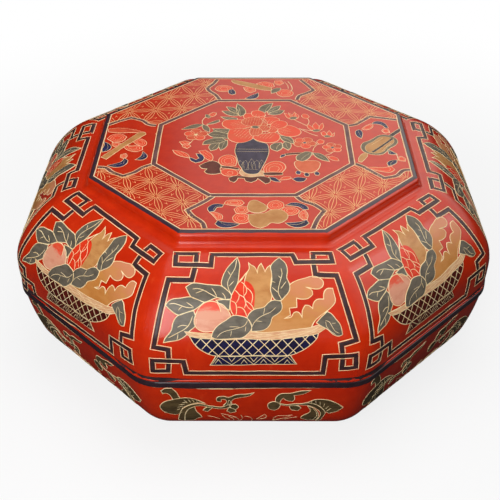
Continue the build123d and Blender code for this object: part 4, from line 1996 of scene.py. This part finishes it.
    def _gourd(self, drawing: Drawing) -> None:
        """The double gourd at the front."""
        for outline in (
            "-20.5,-90 -19,-86 -14,-84.6 -8,-85 -6,-89 -9,-92.4 -15,-92",
            "-13.4,-97 -10,-93.4 -4,-94 -2,-99 -6,-103 -12,-102",
            "-14.4,-108 -12,-103.4 -6,-103 -2,-107 -3,-113 -8,-115.6 -13,-113",
            "11,-93 13,-87.4 18,-85 22.6,-88.6 23,-94 18,-97.6 13,-97",
            "22,-96 26,-94 31.6,-95.6 34,-99 31,-103.4 25,-104.6 21.4,-101",
            "35,-100 38,-98 39.6,-104 38.6,-110 35.6,-110.6 33,-106",
            "-31,-101 -28,-100.6 -22,-105 -22,-109.6 -25.6,-111 -28,-106",
        ):
            self._ribbon(drawing, outline)
        lower = (
            "-3,-104 -2.6,-113 0,-118.6 5,-121 9.6,-118 12.6,-114.4 18,-115 22,-112.6 25,-107 "
            "24,-101.4 19.6,-97.6 13.6,-98 8,-102 2,-103"
        )
        drawing.fill(lower, Paint.TAN, 2, 0.7)
        upper = "-0.6,-85.6 2,-84.8 6,-87.6 10,-92.4 10.6,-96 7,-100.4 1,-101.4 -3,-98.4 -3.4,-92.6"
        drawing.fill(upper, Paint.TAN, 3, 0.7)
        for outline, fold in (
            ("-21,-91 -26,-90 -30.4,-92 -32.6,-96.4 -31.4,-100.6 -28,-99.6 -25.6,-94.6 -22,-94",
             "-22,-92 -27,-94 -28.6,-99"),
            ("-25,-111.6 -27,-116 -24,-119.6 -18,-120.6 -12,-118.4 -9.6,-116 -16,-114.6 "
             "-21.6,-113.6", "-24,-113 -20,-117 -11,-116.6"),
            ("24.6,-91.6 29,-88.4 35,-89 40,-93.4 40.6,-97 37,-97.6 33.6,-93.6 29,-92.4",
             "26,-91 33,-90.8 38,-96"),
            ("23,-114.6 29,-114 35,-112.6 38,-110.6 39.6,-115 36,-119 30,-120.4 25.6,-118",
             "25,-116 31,-116.8 37,-113"),
        ):
            self._tail(drawing, outline, fold)

    def _lute(self, drawing: Drawing) -> None:
        """The lute at the right."""
        for outline in (
            "94.6,25 98,30 103,34.6 104.6,31 102.4,26 98,23.4",
            "111,22 112.6,25.6 116.6,24.4 117,19 113,18",
            "117.6,-27 117,-22 120,-20.4 122.6,-23 122,-28",
            "90,-38 96,-37.4 104,-37.8 110,-36 112,-41 108,-45 100,-43.6 94,-41",
        ):
            self._ribbon(drawing, outline, 1)
        neck = "112,10 119.6,19 126.4,26.4 126.6,22 121,15 115,8"
        drawing.fill(neck, Paint.DARK, 1, 0.7)
        body = (
            "91.4,-13 90,-6 92.4,1 98,5 102,8.6 106,13 111,15 116,13.6 120,9 121,3 118,-3 113,-7.6 "
            "110,-12 106,-17 100,-18 94.6,-16"
        )
        drawing.fill(body, Paint.SAGE, 2, 0.8)
        face = (
            "94,-12 93.4,-6 96,-1 101,3 105,8 109,11.6 113.6,11.4 117.4,8 118,3 114.6,-2 "
            "110.6,-6.6 107,-12.6 102,-15.6 97,-15"
        )
        drawing.fill(face, Paint.TAN, 3, 0.6)
        strip = "97,-13.6 104,-6 111,2 117,9.6 118.6,8 112,0 105,-8 99,-15"
        drawing.fill(strip, Paint.DARK, 4, 0.5)
        drawing.stroke("99,-2 105,4 110,9.6", width=0.5, level=4)
        drawing.stroke("106,-12 111,-4.6 116,2", width=0.5, level=4)
        head = "85.6,-28.6 86,-24 90,-16.6 93.6,-15 93.8,-19 90,-26 87.6,-29.4"
        drawing.fill(head, Paint.TAN, 2, 0.7)
        for outline, fold in (
            ("89,21 92,24 94,21 93.6,14 92,8.6 89.4,12 88.4,17", "91,22 91.4,16 92.6,10"),
            ("104,34 107,38 112,38 115.6,33.6 117,27 114.4,27 112,32 108,34",
             "106,36 111.6,35.4 115,29"),
            ("116,-26 111,-27 107.6,-31 108,-36 111,-34.4 114.6,-31", "113,-28 110.4,-31 110,-35"),
        ):
            self._tail(drawing, outline, fold)
        drawing.stroke("110,-8 114,-13 117,-19 117,-27", width=0.7, level=2)
        self._tail(
            drawing, "111,-10 110.6,-16.4 113,-17.6 117.6,-17 113.6,-12", "111.6,-11 112.4,-16",
        )

    def _sword(self, drawing: Drawing) -> None:
        """The crossed staff and blade at the left."""
        for outline in (
            "-103,0 -99,-3 -92,-2.6 -87,-5 -86.6,-10 -92,-13 -98,-10.6 -102,-5",
            "-97,6 -91,9 -85.4,5 -84,-1 -87,-5 -92,-1",
            "-117,8 -113,15 -106,16 -101,11 -104,4 -111,2",
            "-112,2 -106,1 -103.6,-3 -107,-6.6 -111.4,-3",
            "-103,-18 -99.6,-16 -98,-20 -99.6,-24.6 -103,-22",
        ):
            self._ribbon(drawing, outline)
        blade = "-117.6,25 -108,26.6 -96,23.6 -87,19.4 -88,17.6 -97,19 -108,18.4 -117,20"
        drawing.fill(blade, Paint.BLUSH, 2, 0.7)
        drawing.stroke("-109,24.6 -100,22.6 -90,19", width=0.9, level=2, paint=Paint.DARK)
        staff = "-118.6,-22 -114,-25 -101,-4 -85.6,16 -86.6,19 -91.6,19 -104,0"
        drawing.area(straight(staff, True), Paint.TAN, 3, 0.7)
        for outline, fold in (
            ("-119,3 -115,0 -112,-6 -114.4,-11.6 -118.6,-13.6 -119,-8 -118,-2",
             "-116.4,0 -114.6,-6 -116.4,-12"),
            ("-86,-13 -83,-17 -82,-22 -85,-26 -91,-26 -88.6,-23 -86.6,-19",
             "-85.4,-15 -84.4,-21 -89,-25"),
            ("-99.6,-24 -97,-27 -98,-33 -102,-37 -108,-37 -112,-34.6 -106,-32 -101.6,-29",
             "-99,-26 -100,-32 -109,-35.4"),
        ):
            self._tail(drawing, outline, fold)

    def _flute(self, drawing: Drawing) -> None:
        """The flute and blossoms at the back."""
        for outline in (
            "-29,101 -26,107 -19,108 -13,104 -13,98.6 -20,96 -26,97",
            "-3,104 2,106 7,103 8,97 3,93 -1,97", "9,112 16,116 24,113 25,106 19,103 12,106",
            "27,96 31,99.6 38,98.6 41.6,93 39,87 32,85 27.6,89",
            "26,118 32,118.6 34,113 30,109 26,112",
        ):
            self._ribbon(drawing, outline)
        flute = "-14,118 -12,120 4,113 22,103.4 22,98 16,98.6 0,106.4 -12,114"
        drawing.fill(flute, Paint.TAN, 2, 0.7)
        for outline, fold in (
            ("-16.4,99 -13,100.6 -10.6,96 -10.4,91 -13.6,89 -16.6,92.6",
             "-14,99 -14.4,94 -12,90.6"),
            ("10,93 5,89 1,85 -2,81.6 1.6,80.6 7,82 10,87", "8.6,91 5,86 0.6,82.6"),
        ):
            self._tail(drawing, outline, fold)
        leaf = "22,92 22,98 26,102.6 30.6,103 30,98.6 26,94"
        drawing.fill(leaf, Paint.SAGE, 2, 0.7)
        drawing.stroke("38,117 40.6,108 41,100 38,93", width=0.9, level=1)
        drawing.stroke("35,116 37.4,108 37.6,101", width=0.6, level=1)


@dataclass(frozen=True)
class Softbox:
    """A soft rectangular lamp, placed by its bearing from the box."""

    name: str
    bearing: float
    rise: float
    distance: float
    size: Point
    power: float
    mirrored: bool = False
    aim_height: float = 0.08

    def build(self) -> None:
        """Hangs the lamp, aimed at the box."""
        data = bpy.data.lights.new(self.name, "AREA")
        data.shape = "RECTANGLE"
        data.size, data.size_y = self.size
        data.energy = self.power
        lamp = placed(self.name, data)
        lamp.visible_glossy = self.mirrored
        turn, lift = math.radians(self.bearing), math.radians(self.rise)
        back = Vector(
            (math.sin(turn) * math.cos(lift), -math.cos(turn) * math.cos(lift), math.sin(lift))
        )
        place = back * self.distance + Vector((0.0, 0.0, self.aim_height))
        lamp.matrix_world = (
            Matrix.Translation(place) @ back.to_track_quat("Z", "Y").to_matrix().to_4x4()
        )


@dataclass
class Studio:
    """Camera, pale floor and soft light."""

    lens: float = 64.01
    eye: tuple[float, float, float] = (0.002845, -0.636826, 0.511535)
    aim: tuple[float, float, float] = (-0.0016, -0.1474, 0.15604)
    roll: float = -0.24
    sensor: float = 36.0
    sky: float = 0.22
    horizon: float = 0.05
    wall: float = 0.9
    gloom: float = 0.01
    wall_slant: float = 0.223
    wall_shift: float = 0.28
    lamps: tuple[Softbox, ...] = (
        Softbox("key_softbox", -35.0, 28.0, 1.6, (0.6, 0.6), 5.6),
        Softbox("top_softbox", 160.0, 84.0, 1.5, (1.2, 1.0), 12.4),
        Softbox("front_softbox", -5.0, 16.0, 0.62, (0.26, 0.16), 0.68),
        Softbox("left_window", -13.0, 30.0, 1.6, (0.32, 0.9), 5.4, True),
        Softbox("right_window", 96.0, 40.0, 1.53, (0.2, 0.65), 0.8, True),
    )

    def build(self) -> None:
        """Sets up the view and the light."""
        self._camera()
        self._floor()
        self._world()
        for lamp in self.lamps:
            lamp.build()
        bpy.context.scene.view_settings.view_transform = "Standard"

    def _camera(self) -> None:
        """Places the camera at the photograph's viewpoint."""
        data = bpy.data.cameras.new("camera")
        data.lens = self.lens
        data.sensor_width = self.sensor
        data.clip_start = 0.01
        camera = placed("camera", data)
        back = (Vector(self.eye) - Vector(self.aim)).normalized()
        turn = back.to_track_quat("Z", "Y").to_matrix()
        turn = turn @ Matrix.Rotation(math.radians(self.roll), 3, "Z")
        camera.matrix_world = Matrix.Translation(self.eye) @ turn.to_4x4()
        bpy.context.scene.camera = camera

    def _floor(self) -> None:
        """A wide pale floor that keeps the shadow and fades to white far off."""
        shape = bmesh.new()
        bmesh.ops.create_grid(shape, x_segments=1, y_segments=1, size=6.0)
        mesh = bpy.data.meshes.new("floor")
        shape.to_mesh(mesh)
        shape.free()
        floor = placed("floor", mesh)
        material, graph = new_material("pale_floor")
        path = graph.add("ShaderNodeLightPath")
        camera = Signal(graph, path.outputs["Is Camera Ray"])
        distance = graph.add(
            "ShaderNodeVectorMath", {"operation": "LENGTH"}, {0: graph.place()}
        )
        far = Signal(graph, distance.outputs["Value"]).ramp(0.25, 0.7)
        # To reflected and bounced rays the floor is a near-black grey: painted shade that keeps
        # floor light and floor reflections off the box's lower sides.
        tone = graph.blend(camera, grey(0.035), grey(0.8))
        plain = graph.add("ShaderNodeBsdfDiffuse", None, {"Color": tone})
        bright = graph.add("ShaderNodeEmission", None, {"Color": grey(1.0)})
        share = camera * (far * 0.2 + 0.8)
        mixed = graph.add(
            "ShaderNodeMixShader", None, {0: share, 1: plain.outputs[0], 2: bright.outputs[0]}
        )
        graph.add("ShaderNodeOutputMaterial", None, {"Surface": mixed.outputs[0]})
        mesh.materials.append(material)

    def _world(self) -> None:
        """White to the camera, a bright wall behind in reflections, soft elsewhere."""
        world = bpy.data.worlds.new("studio")
        world.use_nodes = True
        bpy.context.scene.world = world
        graph = Graph(world.node_tree)
        path = graph.add("ShaderNodeLightPath")
        camera = Signal(graph, path.outputs["Is Camera Ray"])
        mirror = Signal(graph, path.outputs["Is Glossy Ray"])
        through = Signal(graph, path.outputs["Is Transmission Ray"])
        x, y, z = graph.axes(graph.add("ShaderNodeTexCoord").outputs["Generated"])
        side = (x - y * self.wall_slant + self.wall_shift).ramp(-0.018, 0.018)
        side = side * (x.ramp(-0.1, 0.25) * 0.45 + 0.82)
        behind = side * y.ramp(-0.95, 0.05) * z.ramp(0.05, 0.4)
        glow = behind * (self.wall - self.gloom) + self.gloom
        ambient = z.ramp(0.0, 0.9) * (self.sky - self.horizon) + self.horizon
        plain = (camera + through).math("MINIMUM", camera + through, 1.0)
        level = plain + (1.0 - plain) * (mirror * glow + (1.0 - mirror) * ambient)
        warm = graph.blend(mirror, grey(1.0), (1.0, 0.95, 0.88, 1.0))
        back = graph.add("ShaderNodeBackground", None, {"Color": warm, "Strength": level})
        graph.add("ShaderNodeOutputWorld", None, {"Surface": back.outputs[0]})


def main() -> None:
    """Builds every part of the scene in order."""
    logging.basicConfig(level=logging.INFO, format="%(name)s %(message)s")
    Studio().build()
    paints()
    for part in (LidPanels(), LidPlate(), BasePanels(), Inside()):
        part.build()
        LOG.info("%s done", type(part).__name__)


if __name__ == "__main__":
    main()
